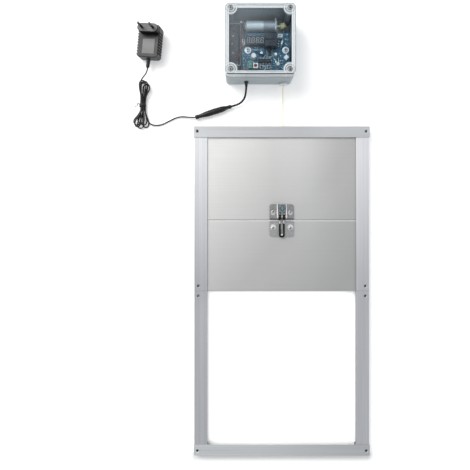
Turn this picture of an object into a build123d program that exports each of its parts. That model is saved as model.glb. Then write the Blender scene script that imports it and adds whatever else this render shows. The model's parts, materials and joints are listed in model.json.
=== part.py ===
from build123d import *
import math
import os

os.makedirs("parts", exist_ok=True)

# Automatic coop door: an aluminium door frame with a leaf that slides up and
# down in it, a control box that winds the leaf up on a cord, and the box's
# mains adapter. Millimetres. The back of everything is the wall plane, z = 0;
# +Y is up the wall, +Z is away from the wall, +X is to the right.
# The origin is the centre of the frame's four corner fixing holes.

# ---------------------------------------------------------------- dimensions
# frame
BAR_W = 300.0            # width of the top and bottom bars
FRAME_H = 562.0          # overall height of the frame
BAR_H = 19.0             # height of a bar's legs
BAR_T = 1.2              # bar sheet thickness
FRAME_D = 12.4           # overall depth of the bars
CH_OUT = 149.2           # outer side of a channel, from the centre line
CH_W = 22.2              # width of a channel
CH_D = 10.0              # depth of a channel
CH_WALL = 1.2            # wall of the channel extrusion
CHAMBER_W = 10.4         # width of the channel's closed chamber
BUTT_GAP = 0.3           # gap between the upper and lower channel pieces
HOLE_D = 4.2             # fixing holes
HOLE_X = 144.0           # corner holes
HOLE_Y = 272.5
MID_X = 142.5            # holes each side of the butt joints
MID_Y = 8.5
# leaf
LEAF_HW = 137.5          # half width of the leaf
LEAF_Z0 = 7.8            # back of the leaf
LEAF_T = 1.2
SEAM_Y = 120.7           # seam between the two sheets
LEAF_TOP = 270.2
LEAF_BOT = -0.5
TRAVEL = 270.0           # how far the leaf drops
# pull cord
CORD_X = 2.3
CORD_D = 1.5
CORD_Z = 5.4             # height of the cord where it meets the leaf
CORD_BOX_Z = 9.0         # height of the cord where it leaves the box
# control box
BX, BY = -39.0, 411.7    # centre of the box
BOX_W, BOX_H = 114.6, 114.8
BASE_D = 44.0            # depth of the base
COVER_Z0 = 44.6          # underside of the cover's rim
BOX_D = 60.0             # overall depth
BOX_R = 7.0
WALL = 3.0
POST_DX, POST_DY = 48.0, 49.6      # cover screws from the centre
WALL_DX, WALL_DY = 30.0, 51.5      # wall fixing holes from the centre
# drive
DRV_Y, DRV_Z = 447.0, 22.0         # motor and spool axis
# board
PCB_X0, PCB_X1 = -68.6, 10.6
PCB_Y0, PCB_Y1 = 367.8, 430.6
PCB_Z0, PCB_T = 32.4, 1.6
PZ = PCB_Z0 + PCB_T
# adapter
AD_W, AD_H, AD_D = 38.0, 54.0, 22.5
# leads
LEAD_D = 2.2
PIG_D = 3.4


# ------------------------------------------------------------------- helpers
def bx(x0, x1, y0, y1, z0, z1):
    return Pos((x0 + x1) / 2, (y0 + y1) / 2, (z0 + z1) / 2) * Box(x1 - x0, y1 - y0, z1 - z0)


def cz(x, y, z0, z1, r):
    return Pos(x, y, (z0 + z1) / 2) * Cylinder(r, z1 - z0)


def cx(x0, x1, y, z, r):
    return Pos((x0 + x1) / 2, y, z) * Rot(0, 90, 0) * Cylinder(r, x1 - x0)


def cy(x, y0, y1, z, r):
    return Pos(x, (y0 + y1) / 2, z) * Rot(90, 0, 0) * Cylinder(r, y1 - y0)


def rbox(x0, x1, y0, y1, z0, z1, r):
    b = bx(x0, x1, y0, y1, z0, z1)
    return fillet(b.edges().filter_by(Axis.Z), r)


def solid(shape):
    """One plain solid out of a boolean's result."""
    s = shape.solids()
    assert len(s) == 1, "expected one solid, got %d" % len(s)
    return s[0]


WRITTEN = []


def put(name, *shapes):
    out = []
    for s in shapes:
        out += list(s.solids())
    for s in out:
        assert s.is_valid, name
    obj = out[0] if len(out) == 1 else Compound(children=out)
    export_step(obj, "parts/%s.step" % name)
    WRITTEN.append(name)
    print("%-26s solids %2d  volume %10.1f" % (name, len(out), sum(s.volume for s in out)))


def tube(points, d, name):
    """A cord: straight runs joined by tangent arcs as large as the runs allow."""
    pts = [Vector(*p) for p in points]
    radii = []
    for a, b, c in zip(pts, pts[1:], pts[2:]):
        turn = math.radians((b - a).get_angle(c - b))
        run = min((b - a).length, (c - b).length)
        radii.append(0.45 * run / math.tan(turn / 2))
    print("   %s radii / d: %s" % (name, ", ".join("%.1f" % (r / d) for r in radii)))
    path = FilletPolyline(*pts, radius=radii) if radii else Line(pts[0], pts[-1])
    plane = Plane(origin=pts[0], z_dir=(pts[1] - pts[0]).normalized())
    s = solid(sweep(plane * Circle(d / 2), path=path))
    ideal = math.pi * d * d / 4 * path.length
    print("   %s length %.1f  volume / (section x length) %.4f" % (name, path.length, s.volume / ideal))
    return s


def screw_head(x, y, z, r, h, recess=True):
    """A pan head on the plane z, with a cross recess."""
    head = cz(x, y, z, z + h, r)
    head = fillet(head.edges().filter_by(GeomType.CIRCLE).sort_by(Axis.Z)[-1], h * 0.45)
    if recess:
        w = r * 0.28
        ln = r * 1.05
        cut = Pos(x, y, z + h - h * 0.25) * (Box(ln, w, h * 0.5 + 0.02) + Box(w, ln, h * 0.5 + 0.02))
        head = head - cut
    return head


# --------------------------------------------------------------------- frame
def bar(sign):
    """C-section cap; the legs point towards the middle of the frame."""
    y_out = FRAME_H / 2
    outer = bx(-BAR_W / 2, BAR_W / 2, y_out - BAR_H, y_out, 0, FRAME_D)
    outer = fillet(outer.edges().filter_by(Axis.X).sort_by(Axis.Y)[-2:], 1.5)
    inner = bx(-BAR_W / 2 - 1, BAR_W / 2 + 1, y_out - BAR_H - 1, y_out - BAR_T, BAR_T, FRAME_D - BAR_T)
    inner = fillet(inner.edges().filter_by(Axis.X).sort_by(Axis.Y)[-2:], 0.6)
    p = outer - inner
    # rounded corners of the front leg
    for sx in (-1, 1):
        r = 2.0 if sign > 0 else 3.0
        blank = bx(sx * BAR_W / 2 - r if sx > 0 else -BAR_W / 2 - 1, BAR_W / 2 + 1 if sx > 0 else -BAR_W / 2 + r,
                   y_out - r, y_out + 1, -1, FRAME_D + 1)
        p = p - (blank - cz(sx * (BAR_W / 2 - r), y_out - r, -2, FRAME_D + 2, r))
    for sx in (-1, 1):
        p -= cz(sx * HOLE_X, HOLE_Y, -1, FRAME_D + 1, HOLE_D / 2)
        p -= Pos(sx * HOLE_X, HOLE_Y, FRAME_D - 0.4) * Cone(HOLE_D / 2, HOLE_D / 2 + 1.1, 0.8)
    if sign < 0:
        # the back leg is cut short between the channels, so that rain and dirt fall out
        p -= bx(-126.0, 126.0, y_out - BAR_H - 1, y_out - 10.4, -1, BAR_T + 0.01)
        p = mirror(p, about=Plane.XZ)
    return p


top_bar = bar(1)
top_bar -= cy(CORD_X, FRAME_H / 2 - 4, FRAME_H / 2 + 1, CORD_Z, 2.4)
put("top_bar", solid(top_bar))
put("bottom_bar", solid(bar(-1)))

ZC = BAR_T               # the channels lie on the bars' back legs


def channel(side, upper):
    y1 = FRAME_H / 2 - BAR_T - 0.8
    y0 = BUTT_GAP / 2
    w, d, t, c = CH_W, CH_D, CH_WALL, CHAMBER_W
    pts = [(0, 0), (c, 0), (c, 4.4), (w, 4.4), (w, 5.6), (c, 5.6), (c, d - t), (w, d - t), (w, d), (0, d)]
    outline = Plane.XZ * make_face(Polyline(*pts, close=True))
    chamber = Plane.XZ * Pos((t + c - t) / 2, d / 2) * Rectangle(c - 2 * t, d - 2 * t)
    p = extrude(outline, -(y1 - y0)) - extrude(chamber, -(y1 - y0))
    # rounded long edges at the front lip and at the outer corner
    longs = p.edges().filter_by(Axis.Y)
    pick = [e for e in longs if abs(e.center().Z - d) < 1e-3]
    p = fillet(pick, 0.5)
    p = Pos(-CH_OUT, y0, ZC) * p
    # fixing holes: one at the bar, one beside the butt joint
    p -= cz(-HOLE_X, HOLE_Y, -1, 20, HOLE_D / 2)
    p -= cz(-MID_X, MID_Y, -1, 20, HOLE_D / 2)
    p -= Pos(-MID_X, MID_Y, ZC + d - 0.4) * Cone(HOLE_D / 2, HOLE_D / 2 + 1.1, 0.8)
    if side > 0:
        p = mirror(p, about=Plane.YZ)
    if not upper:
        p = mirror(p, about=Plane.XZ)
    return solid(p)


put("channel_left_upper", channel(-1, True))
put("channel_left_lower", channel(-1, False))
put("channel_right_upper", channel(1, True))
put("channel_right_lower", channel(1, False))


def splice(side):
    g = 0.08
    x0 = -CH_OUT + CH_WALL + g
    x1 = -CH_OUT + CHAMBER_W - CH_WALL - g
    p = bx(x0, x1, -32, 32, ZC + CH_WALL + g, ZC + CH_D - CH_WALL - g)
    p = chamfer(p.faces().sort_by(Axis.Y)[-1].edges() + p.faces().sort_by(Axis.Y)[0].edges(), 0.8)
    for s in (-1, 1):
        p -= cz(-MID_X, s * MID_Y, -1, 20, HOLE_D / 2)
    return solid(mirror(p, about=Plane.YZ) if side > 0 else p)


put("channel_splices", splice(-1), splice(1))

# ---------------------------------------------------------------------- leaf
LZ1 = LEAF_Z0 + LEAF_T
LATCH_SCREW_X = 14.8
LATCH_SCREW_YU = 135.0
LATCH_SCREW_YL = 107.4

upper = bx(-LEAF_HW, LEAF_HW, SEAM_Y + 0.2, LEAF_TOP, LEAF_Z0, LZ1)
low_front = [e for e in upper.edges().filter_by(Axis.X)
             if abs(e.center().Y - SEAM_Y - 0.2) < 1e-3 and abs(e.center().Z - LZ1) < 1e-3]
upper = chamfer(low_front, 0.5)
# tongue that laps behind the lower sheet, clear of the side grooves
upper += bx(-124, 124, 110.0, 121.0, LEAF_Z0 - 1.3, LEAF_Z0 - 0.1)
upper += bx(-124, 124, SEAM_Y + 0.2, 124.0, LEAF_Z0 - 1.3, LEAF_Z0 + 0.01)
# tab for the pull cord
upper += bx(CORD_X - 8, CORD_X + 8, LEAF_TOP - 1.2, LEAF_TOP, LEAF_Z0 - 5.0, LEAF_Z0 + 0.01)
upper -= cy(CORD_X, LEAF_TOP - 3, LEAF_TOP + 1, CORD_Z, CORD_D / 2 + 0.25)
for sx in (-1, 1):
    upper -= cz(sx * LATCH_SCREW_X, LATCH_SCREW_YU, 0, 20, 1.55)
put("leaf_upper", solid(upper))

lower = bx(-LEAF_HW, LEAF_HW, LEAF_BOT, SEAM_Y - 0.2, LEAF_Z0, LZ1)
top_front = [e for e in lower.edges().filter_by(Axis.X)
             if abs(e.center().Y - SEAM_Y + 0.2) < 1e-3 and abs(e.center().Z - LZ1) < 1e-3]
lower = chamfer(top_front, 0.4)
# hem folded back along the bottom edge
lower += bx(-124, 124, LEAF_BOT, LEAF_BOT + 1.2, LEAF_Z0 - 1.3, LEAF_Z0 + 0.01)
lower += bx(-124, 124, LEAF_BOT, LEAF_BOT + 9.0, LEAF_Z0 - 1.3, LEAF_Z0 - 0.1)
for sx in (-1, 1):
    lower -= cz(sx * LATCH_SCREW_X, LATCH_SCREW_YL, 0, 20, 1.55)
put("leaf_lower", solid(lower))

# ---------------------------------------------------------------------- latch
LP_HW = 20.8             # half width of the latch plates
PLATE_T = 1.2
PZ0, PZ1 = LZ1, LZ1 + PLATE_T
RAIL_X0, RAIL_X1 = 7.1, 8.3
PIV_Y, PIV_Z = 126.5, 14.0        # lever pivot
BAIL_Y, BAIL_Z = 131.0, 12.8      # bail's pivot in the lever
WIRE = 3.0
LEG_X = 3.4
BAIL_END = 92.8


def corner_cut(x, y, sx, sy, r, z0, z1):
    blk = bx(min(x, x - sx * r) - (0.5 if sx < 0 else 0), max(x, x - sx * r) + (0.5 if sx > 0 else 0),
             min(y, y - sy * r) - (0.5 if sy < 0 else 0), max(y, y - sy * r) + (0.5 if sy > 0 else 0), z0, z1)
    return blk - cz(x - sx * r, y - sy * r, z0 - 1, z1 + 1, r)


base = bx(-LP_HW, LP_HW, 121.9, 148.3, PZ0, PZ1)
for sx in (-1, 1):
    base -= corner_cut(sx * LP_HW, 148.3, sx, 1, 5.0, PZ0 - 1, PZ1 + 1)
    base -= corner_cut(sx * LP_HW, 121.9, sx, -1, 1.2, PZ0 - 1, PZ1 + 1)
    rail_pts = [(123.4, PZ1 - 0.01), (148.0, PZ1 - 0.01), (148.0, PZ1 + 2.2), (145.0, PZ1 + 3.4),
                (133.0, PZ1 + 5.4), (129.0, PZ1 + 6.3), (125.0, PZ1 + 6.3), (123.4, PZ1 + 4.6)]
    face = Plane.YZ * make_face(Polyline(*rail_pts, close=True))
    rail = extrude(face, RAIL_X1 - RAIL_X0)
    base += Pos(RAIL_X0 if sx > 0 else -RAIL_X1, 0, 0) * rail
base -= cx(-12, 12, PIV_Y, PIV_Z, 1.0)
for sx in (-1, 1):
    base -= cz(sx * LATCH_SCREW_X, LATCH_SCREW_YU, 0, 20, 1.6)
put("latch_base", solid(base))

# lever: a formed cover plate with two side walls, slotted for the bail's legs
LV = 6.5
lev = bx(-LV, LV, 124.1, 140.0, PIV_Z + 0.9, PIV_Z + 2.1)
tip_pts = [(139.9, PIV_Z + 0.9), (144.0, PIV_Z + 1.2), (147.6, PIV_Z + 2.6), (147.2, PIV_Z + 3.7),
           (143.7, PIV_Z + 2.4), (139.9, PIV_Z + 2.1)]
lev += Pos(-LV, 0, 0) * extrude(Plane.YZ * make_face(Polyline(*tip_pts, close=True)), 2 * LV)
for sx in (-1, 1):
    wall_pts = [(124.1, PIV_Z + 1.0), (124.1, PIV_Z - 1.4), (125.4, PIV_Z - 2.3), (129.2, PIV_Z - 3.3),
                (132.8, PIV_Z - 3.3), (134.0, PIV_Z - 1.6), (139.5, PIV_Z - 0.4), (140.0, PIV_Z + 1.0)]
    w = extrude(Plane.YZ * make_face(Polyline(*wall_pts, close=True)), 1.2)
    lev += Pos(LV - 1.2 if sx > 0 else -LV, 0, 0) * w
    # slot in the cover plate over each leg
    lev -= bx(*sorted((sx * 1.4, sx * 5.3)), 120, 134.8, PIV_Z + 0.5, PIV_Z + 5)
lev -= cx(-12, 12, PIV_Y, PIV_Z, 1.05)
lev -= cx(-12, 12, BAIL_Y, BAIL_Z, WIRE / 2 + 0.05)
put("latch_lever", solid(lev))

pins = []
for sx in (-1, 1):
    shaft = cx(*sorted((sx * 5.15, sx * 8.35)), PIV_Y, PIV_Z, 1.0)
    head = cx(*sorted((sx * 8.3, sx * 9.1)), PIV_Y, PIV_Z, 1.7)
    pins.append(solid(shaft + head))
put("latch_pivot_rivets", *pins)

bail_pts = [(6.35, BAIL_Y, BAIL_Z), (LEG_X, BAIL_Y, BAIL_Z), (LEG_X, BAIL_END, BAIL_Z),
            (-LEG_X, BAIL_END, BAIL_Z), (-LEG_X, BAIL_Y, BAIL_Z), (-6.35, BAIL_Y, BAIL_Z)]
bail_path = FilletPolyline(*bail_pts, radius=[1.65, 2.2, 2.2, 1.65])
bail = sweep(Plane(origin=bail_pts[0], z_dir=(-1, 0, 0)) * Circle(WIRE / 2), path=bail_path)
put("latch_bail", solid(bail))

keeper = bx(-LP_HW, LP_HW, 92.2, 118.6, PZ0, PZ1)
for sx in (-1, 1):
    keeper -= corner_cut(sx * LP_HW, 92.2, sx, -1, 5.0, PZ0 - 1, PZ1 + 1)
    keeper -= corner_cut(sx * LP_HW, 118.6, sx, 1, 1.2, PZ0 - 1, PZ1 + 1)
    keeper -= cz(sx * LATCH_SCREW_X, LATCH_SCREW_YL, 0, 20, 1.6)
    bead = bx(*sorted((sx * 8.0, sx * 9.6)), 94.5, 116.5, PZ1 - 0.1, PZ1 + 0.7)
    bead = fillet(bead.edges().filter_by(Axis.Z), 0.75)
    keeper += bead
keeper -= bx(-1.6, 1.6, 96.6, 104.6, PZ0 - 1, PZ1 + 1)
keeper += bx(-1.5, 1.5, 95.1, 96.7, PZ0, PIV_Z + 1.4)
put("latch_keeper", solid(keeper))

screws = []
for y in (LATCH_SCREW_YU, LATCH_SCREW_YL):
    for sx in (-1, 1):
        s = screw_head(sx * LATCH_SCREW_X, y, PZ1, 2.8, 1.8)
        s += cz(sx * LATCH_SCREW_X, y, LEAF_Z0 - 2.2, PZ1 + 0.01, 1.5)
        screws.append(solid(s))
put("latch_screws", *screws)

# ------------------------------------------------------------------ box base
bx0, bx1 = BX - BOX_W / 2, BX + BOX_W / 2
by0, by1 = BY - BOX_H / 2, BY + BOX_H / 2
DRAFT = 1.5


def rr(w, h, r, z):
    return Pos(BX, BY, z) * RectangleRounded(w, h, r)


shell = extrude(rr(BOX_W, BOX_H, BOX_R, BASE_D), -BASE_D, taper=DRAFT)
cavity = extrude(rr(BOX_W - 2 * WALL, BOX_H - 2 * WALL, BOX_R - WALL, BASE_D + 0.01), -(BASE_D - 2.8 + 0.01), taper=DRAFT)
back_edges = shell.faces().sort_by(Axis.Z)[0].edges()
shell = fillet(back_edges, 1.5)
base = shell - cavity
for sx in (-1, 1):
    for sy in (-1, 1):
        px, py = BX + sx * POST_DX, BY + sy * POST_DY
        post = cz(px, py, 2.0, BASE_D, 5.4)
        # web that ties the post to the corner
        web = Pos(px + sx * 3.3, py + sy * 2.6, (BASE_D + 2) / 2) * Box(6.4, 5.0, BASE_D - 2)
        base += post
        base += web
        base -= cz(px, py, 26.0, BASE_D + 1, 1.45)
# standoffs under the board, the motor bracket's bosses
for px, py, hole in ((-58.5, 402.0, True), (4.0, 402.0, True), (-60.0, 373.0, False), (-6.0, 373.0, False),
                     (-58.5, 426.0, False), (-8.0, 426.0, False)):
    if px > 0:
        # this standoff hangs from a leg beside it, clear of the pull cord
        s = cz(px, py, PCB_Z0 - 12.0, PCB_Z0, 3.4) + bx(px, 10.5, py - 3.0, py + 3.0, PCB_Z0 - 12.0, PCB_Z0)
        s += bx(6.6, 10.5, py - 3.0, py + 3.0, 2.0, PCB_Z0)
    else:
        s = cz(px, py, 2.0, PCB_Z0, 3.4)
    if hole:
        s -= cz(px, py, PCB_Z0 - 10, PCB_Z0 + 1, 1.25)
    base += s
for py in (DRV_Y - 7.5, DRV_Y + 7.5):
    s = cz(-3.6, py, 2.0, 5.4, 3.2) - cz(-3.6, py, 3.4, 6, 1.25)
    base += s
# seal groove in the rim
GRV = 1.5
ring_o = extrude(rr(BOX_W - 1.6, BOX_H - 1.6, BOX_R - 0.8, BASE_D - 1.0), 2)
ring_i = extrude(rr(BOX_W - 1.6 - 2 * GRV, BOX_H - 1.6 - 2 * GRV, BOX_R - 0.8 - GRV, BASE_D - 2.0), 4)
base -= (ring_o - ring_i)
# wall fixing holes, the cable hole and the cord hole
for sx in (-1, 1):
    for sy in (-1, 1):
        base -= cz(BX + sx * WALL_DX, BY + sy * WALL_DY, -1, 8, 2.25)
CAB_X, CAB_Z = -60.7, 18.0
base -= cy(CAB_X, by0 - 3, by0 + 8, CAB_Z, 3.5)
base -= cy(CORD_X, by0 - 3, by0 + 8, CORD_BOX_Z, 3.5)
put("box_base", solid(base))

# --------------------------------------------------------------------- cover
cov = extrude(rr(BOX_W, BOX_H, BOX_R, COVER_Z0), BOX_D - COVER_Z0)
cov = fillet(cov.faces().sort_by(Axis.Z)[-1].edges(), 1.6)
hollow = extrude(rr(BOX_W - 2 * 2.6, BOX_H - 2 * 2.6, BOX_R - 2.6, COVER_Z0 - 0.01), BOX_D - COVER_Z0 - 2.6)
cov -= hollow
for sx in (-1, 1):
    for sy in (-1, 1):
        px, py = BX + sx * POST_DX, BY + sy * POST_DY
        cov += cz(px, py, COVER_Z0, BOX_D - 1, 6.2)
        ring = cz(px, py, BOX_D - 4.2, BOX_D - 2.0, 10.4) - cz(px, py, BOX_D - 5, BOX_D, 9.2)
        clip = bx(bx0 + 2.0, bx1 - 2.0, by0 + 2.0, by1 - 2.0, 0, 70)
        cov += ring & clip
        cov -= cz(px, py, COVER_Z0 - 1, BOX_D + 1, 2.1)
        cov -= cz(px, py, BOX_D - 3.2, BOX_D + 1, 4.3)
put("box_cover", solid(cov))

seal = extrude(rr(BOX_W - 1.7, BOX_H - 1.7, BOX_R - 0.85, BASE_D - 1.0), COVER_Z0 - BASE_D + 1.0)
seal -= extrude(rr(BOX_W - 1.7 - 2 * 1.4, BOX_H - 1.7 - 2 * 1.4, BOX_R - 0.85 - 1.4, BASE_D - 2), 6)
put("cover_seal", solid(seal))

cs = []
for sx in (-1, 1):
    for sy in (-1, 1):
        px, py = BX + sx * POST_DX, BY + sy * POST_DY
        s = screw_head(px, py, BOX_D - 3.2, 3.7, 2.4)
        s += cz(px, py, 28.0, BOX_D - 3.19, 1.4)
        cs.append(solid(s))
put("cover_screws", *cs)

# cable grommet: flange inside, neck through the wall, short nose outside
yb = by0                       # outer face of the bottom wall at the rim
gro = cy(CAB_X, yb + 4.4, yb + 6.2, CAB_Z, 5.2) + cy(CAB_X, yb - 0.5, yb + 4.5, CAB_Z, 3.45)
gro += cy(CAB_X, yb - 0.9, yb + 0.4, CAB_Z, 3.9)
gro += Pos(CAB_X, yb - 4.2, CAB_Z) * Rot(90, 0, 0) * Cone(2.7, 2.1, 7.0)
gro -= cy(CAB_X, yb - 10, yb + 10, CAB_Z, PIG_D / 2)
# trim the outer flange against the drafted wall
gro -= shell
gro_neck = cy(CAB_X, yb - 0.5, yb + 4.5, CAB_Z, 3.45) - cy(CAB_X, yb - 10, yb + 10, CAB_Z, PIG_D / 2)
gro_in = cy(CAB_X, yb + 4.4, yb + 6.2, CAB_Z, 5.2) - cy(CAB_X, yb - 10, yb + 10, CAB_Z, PIG_D / 2)
gro = gro + gro_neck + gro_in
put("cable_grommet", solid(gro))

bush = cy(CORD_X, yb - 2.6, yb + 0.6, CORD_BOX_Z, 6.6)
bush = fillet(bush.edges().filter_by(GeomType.CIRCLE).sort_by(Axis.Y)[0], 1.4)
bush -= shell
bush_neck = cy(CORD_X, yb - 1.0, yb + 5.6, CORD_BOX_Z, 3.45)
bush = bush + bush_neck
bush -= cy(CORD_X, yb - 10, yb + 10, CORD_BOX_Z, 1.3)
put("cord_bushing", solid(bush))

# --------------------------------------------------------------------- drive
can = cx(-60.6, -31.7, DRV_Y, DRV_Z, 8.7)
can = fillet(can.edges().filter_by(GeomType.CIRCLE), 1.0)
can -= cx(-61.0, -57.6, DRV_Y, DRV_Z, 6.4)
put("motor_can", solid(can))

cap = cx(-61.6, -57.7, DRV_Y, DRV_Z, 6.3) + cx(-63.4, -61.5, DRV_Y, DRV_Z, 2.6)
cap += bx(-65.0, -61.5, DRV_Y + 4.0, DRV_Y + 4.5, DRV_Z - 1.2, DRV_Z + 1.2)
cap += bx(-65.0, -61.5, DRV_Y - 4.5, DRV_Y - 4.0, DRV_Z - 1.2, DRV_Z + 1.2)
put("motor_end_cap", solid(cap))

gbx = cx(-31.6, -12.7, DRV_Y, DRV_Z, 9.2)
gbx = fillet(gbx.edges().filter_by(GeomType.CIRCLE), 0.5)
for gx in (-28.6, -25.6):
    gbx -= cx(gx, gx + 0.5, DRV_Y, DRV_Z, 10) - cx(gx - 1, gx + 2, DRV_Y, DRV_Z, 8.9)
gbx -= cx(-18.0, -12.0, DRV_Y, DRV_Z, 2.05)
put("gearbox_housing", solid(gbx))

BRK0, BRK1 = -12.6, -11.1
brk = bx(BRK0, BRK1, DRV_Y - 11.0, DRV_Y + 11.0, 5.4, 32.4)
brk = fillet([e for e in brk.edges().filter_by(Axis.X) if e.center().Z > 30], 4.0)
brk += bx(BRK0, 0.0, DRV_Y - 11.0, DRV_Y + 11.0, 5.4, 6.9)
brk -= cx(-14, -10, DRV_Y, DRV_Z, 3.1)
for py in (DRV_Y - 7.5, DRV_Y + 7.5):
    brk -= cz(-3.6, py, 4, 8, 1.7)
for dy in (-6.5, 6.5):
    brk -= cx(-14, -10, DRV_Y + dy, DRV_Z, 1.1)
put("motor_bracket", solid(brk))

bs = []
for py in (DRV_Y - 7.5, DRV_Y + 7.5):
    s = screw_head(-3.6, py, 6.9, 2.7, 1.6) + cz(-3.6, py, 3.5, 6.91, 1.2)
    bs.append(solid(s))
for dy in (-6.5, 6.5):
    head = cx(BRK1, BRK1 + 1.3, DRV_Y + dy, DRV_Z, 1.9)
    bs.append(solid(head + cx(BRK0, BRK1 + 0.1, DRV_Y + dy, DRV_Z, 1.0)))

SP0, SP1 = -4.9, 4.9
shaft = cx(-17.8, SP1 + 1.4, DRV_Y, DRV_Z, 2.0)
shaft = chamfer(shaft.edges().filter_by(GeomType.CIRCLE).sort_by(Axis.X)[-1], 0.4)
put("output_shaft", solid(shaft))

HUB_R, FLANGE_R = 2.7, 5.8
sp = cx(SP0, SP1, DRV_Y, DRV_Z, HUB_R) + cx(SP0, SP0 + 1.1, DRV_Y, DRV_Z, FLANGE_R)
sp += cx(SP1 - 1.1, SP1, DRV_Y, DRV_Z, FLANGE_R)
sp -= cx(SP0 - 1, SP1 + 1, DRV_Y, DRV_Z, 2.0)
put("cord_spool", solid(sp))

WIND_R = 5.2
wnd = cx(SP0 + 1.15, SP1 - 1.15, DRV_Y, DRV_Z, WIND_R) - cx(SP0, SP1, DRV_Y, DRV_Z, HUB_R + 0.02)
put("wound_cord", solid(wnd))

# pull cord: off the back of the spool, down through the bushing, through the
# top bar, to the leaf's tab
tan_z = DRV_Z - WIND_R - CORD_D / 2 - 0.06
cord = tube([(CORD_X, DRV_Y, tan_z), (CORD_X, yb + 2.0, CORD_BOX_Z), (CORD_X, FRAME_H / 2 + 1.0, CORD_Z),
             (CORD_X, LEAF_TOP - 2.0, CORD_Z)], CORD_D, "pull_cord")
put("pull_cord", cord)
knot = Pos(CORD_X, LEAF_TOP - 1.2 - 2.3, CORD_Z) * scale(Sphere(1.0), by=(1.75, 2.25, 1.75))
knot -= cy(CORD_X, LEAF_TOP - 2.0, LEAF_TOP + 2, CORD_Z, CORD_D / 2)
put("cord_knot", solid(knot))

# --------------------------------------------------------------- electronics
pcb = bx(PCB_X0, PCB_X1, PCB_Y0, PCB_Y1, PCB_Z0, PZ)
pcb = fillet(pcb.edges().filter_by(Axis.Z), 1.0)
for px, py in ((-58.5, 402.0), (4.0, 402.0)):
    pcb -= cz(px, py, 30, 36, 1.6)
put("circuit_board", solid(pcb))

bsc = []
for px, py in ((-58.5, 402.0), (4.0, 402.0)):
    washer = cz(px, py, PZ, PZ + 0.7, 5.6)
    s = screw_head(px, py, PZ + 0.7, 3.4, 2.0) + cz(px, py, PCB_Z0 - 8, PZ + 0.71, 1.2)
    bsc.append(solid(s + washer))
put("inner_screws", *(bs + bsc))

dsp = bx(-61.6, -31.4, 408.8, 422.8, PZ, PZ + 8.0)
dsp = chamfer(dsp.faces().sort_by(Axis.Z)[-1].edges(), 0.3)
put("display", solid(dsp))

rel = []
for y0 in (403.8, 414.9):
    r = bx(-31.0, -11.4, y0, y0 + 10.6, PZ, PZ + 14.5)
    r = fillet(r.edges().filter_by(Axis.Z), 0.8)
    r = chamfer(r.faces().sort_by(Axis.Z)[-1].edges(), 0.4)
    rel.append(r)
put("relays", *rel)

ics = []
body = bx(-40.9, -21.2, 380.4, 386.8, PZ + 1.0, PZ + 4.4)
body = chamfer(body.edges().filter_by(Axis.X), 0.5)
dip = body
for i in range(8):
    x = -40.9 + 0.95 + i * 2.54
    for sy, y in ((-1, 380.4), (1, 386.8)):
        dip += bx(x - 0.4, x + 0.4, *sorted((y - 0.01 * sy, y + sy * 1.1)), PZ + 2.2, PZ + 2.6)
        dip += bx(x - 0.4, x + 0.4, *sorted((y + sy * 0.7, y + sy * 1.1)), PZ, PZ + 2.6)
dip -= cz(-40.4, 383.6, PZ + 3.9, PZ + 6, 0.9)
ics.append(dip)
so = bx(-25.0, -19.8, 393.4, 402.6, PZ + 0.2, PZ + 1.9)
for i in range(7):
    y = 393.4 + 0.8 + i * 1.27
    for sx, x in ((-1, -25.0), (1, -19.8)):
        so += bx(*sorted((x - 0.01 * sx, x + sx * 1.0)), y - 0.22, y + 0.22, PZ, PZ + 0.5)
ics.append(so)
put("integrated_circuits", *ics)

caps = [fillet(cz(-49.2, 389.6, PZ, PZ + 11.0, 4.0).edges().filter_by(GeomType.CIRCLE).sort_by(Axis.Z)[-1], 0.7),
        rbox(-14.6, -10.8, 391.4, 395.6, PZ, PZ + 6.0, 0.6),
        fillet(cz(-36.0, 395.5, PZ, PZ + 7.0, 2.5).edges().filter_by(GeomType.CIRCLE).sort_by(Axis.Z)[-1], 0.5)]

con = []
for x0, x1, y0, y1, h in ((-67.6, -63.4, 409.4, 418.6, 6.0), (-8.2, -1.6, 421.4, 426.6, 6.0)):
    c = bx(x0, x1, y0, y1, PZ, PZ + h)
    c -= bx(x0 + 0.8, x1 - 0.8, y0 + 0.8, y1 - 0.8, PZ + 1.4, PZ + h + 1)
    con.append(solid(c))
put("board_connectors", *con)

tb = bx(-57.4, -51.4, 370.4, 381.6, PZ, PZ + 9.0)
tb = chamfer(tb.edges().filter_by(Axis.Y).sort_by(Axis.Z)[-2:], 1.2)
for y in (373.4, 378.6):
    tb -= cz(-54.4, y, PZ + 5.4, PZ + 10, 1.5)
put("terminal_block", solid(tb))

# leaded parts: light sensor on bent leads, a diode, a resistor
ldr_x, ldr_y = -9.3, 376.0
ldr = cz(ldr_x, ldr_y, PZ + 8.0, PZ + 10.2, 2.6)
ldr -= bx(ldr_x - 1.8, ldr_x + 1.8, ldr_y + 0.4, ldr_y + 0.9, PZ + 9.9, PZ + 11)
ldr -= bx(ldr_x - 1.8, ldr_x + 1.8, ldr_y - 0.9, ldr_y - 0.4, PZ + 9.9, PZ + 11)
for sx, top in ((-1, (-16.6, 388.8)), (1, (-7.6, 390.0))):
    lead = tube([(top[0], top[1], PZ), (top[0], top[1], PZ + 5.4), (ldr_x + sx * 1.2, ldr_y + 1.0, PZ + 6.4),
                 (ldr_x + sx * 1.2, ldr_y + 0.6, PZ + 8.3)], 0.6, "sensor_lead")
    ldr += lead
put("light_sensor", solid(ldr))

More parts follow.
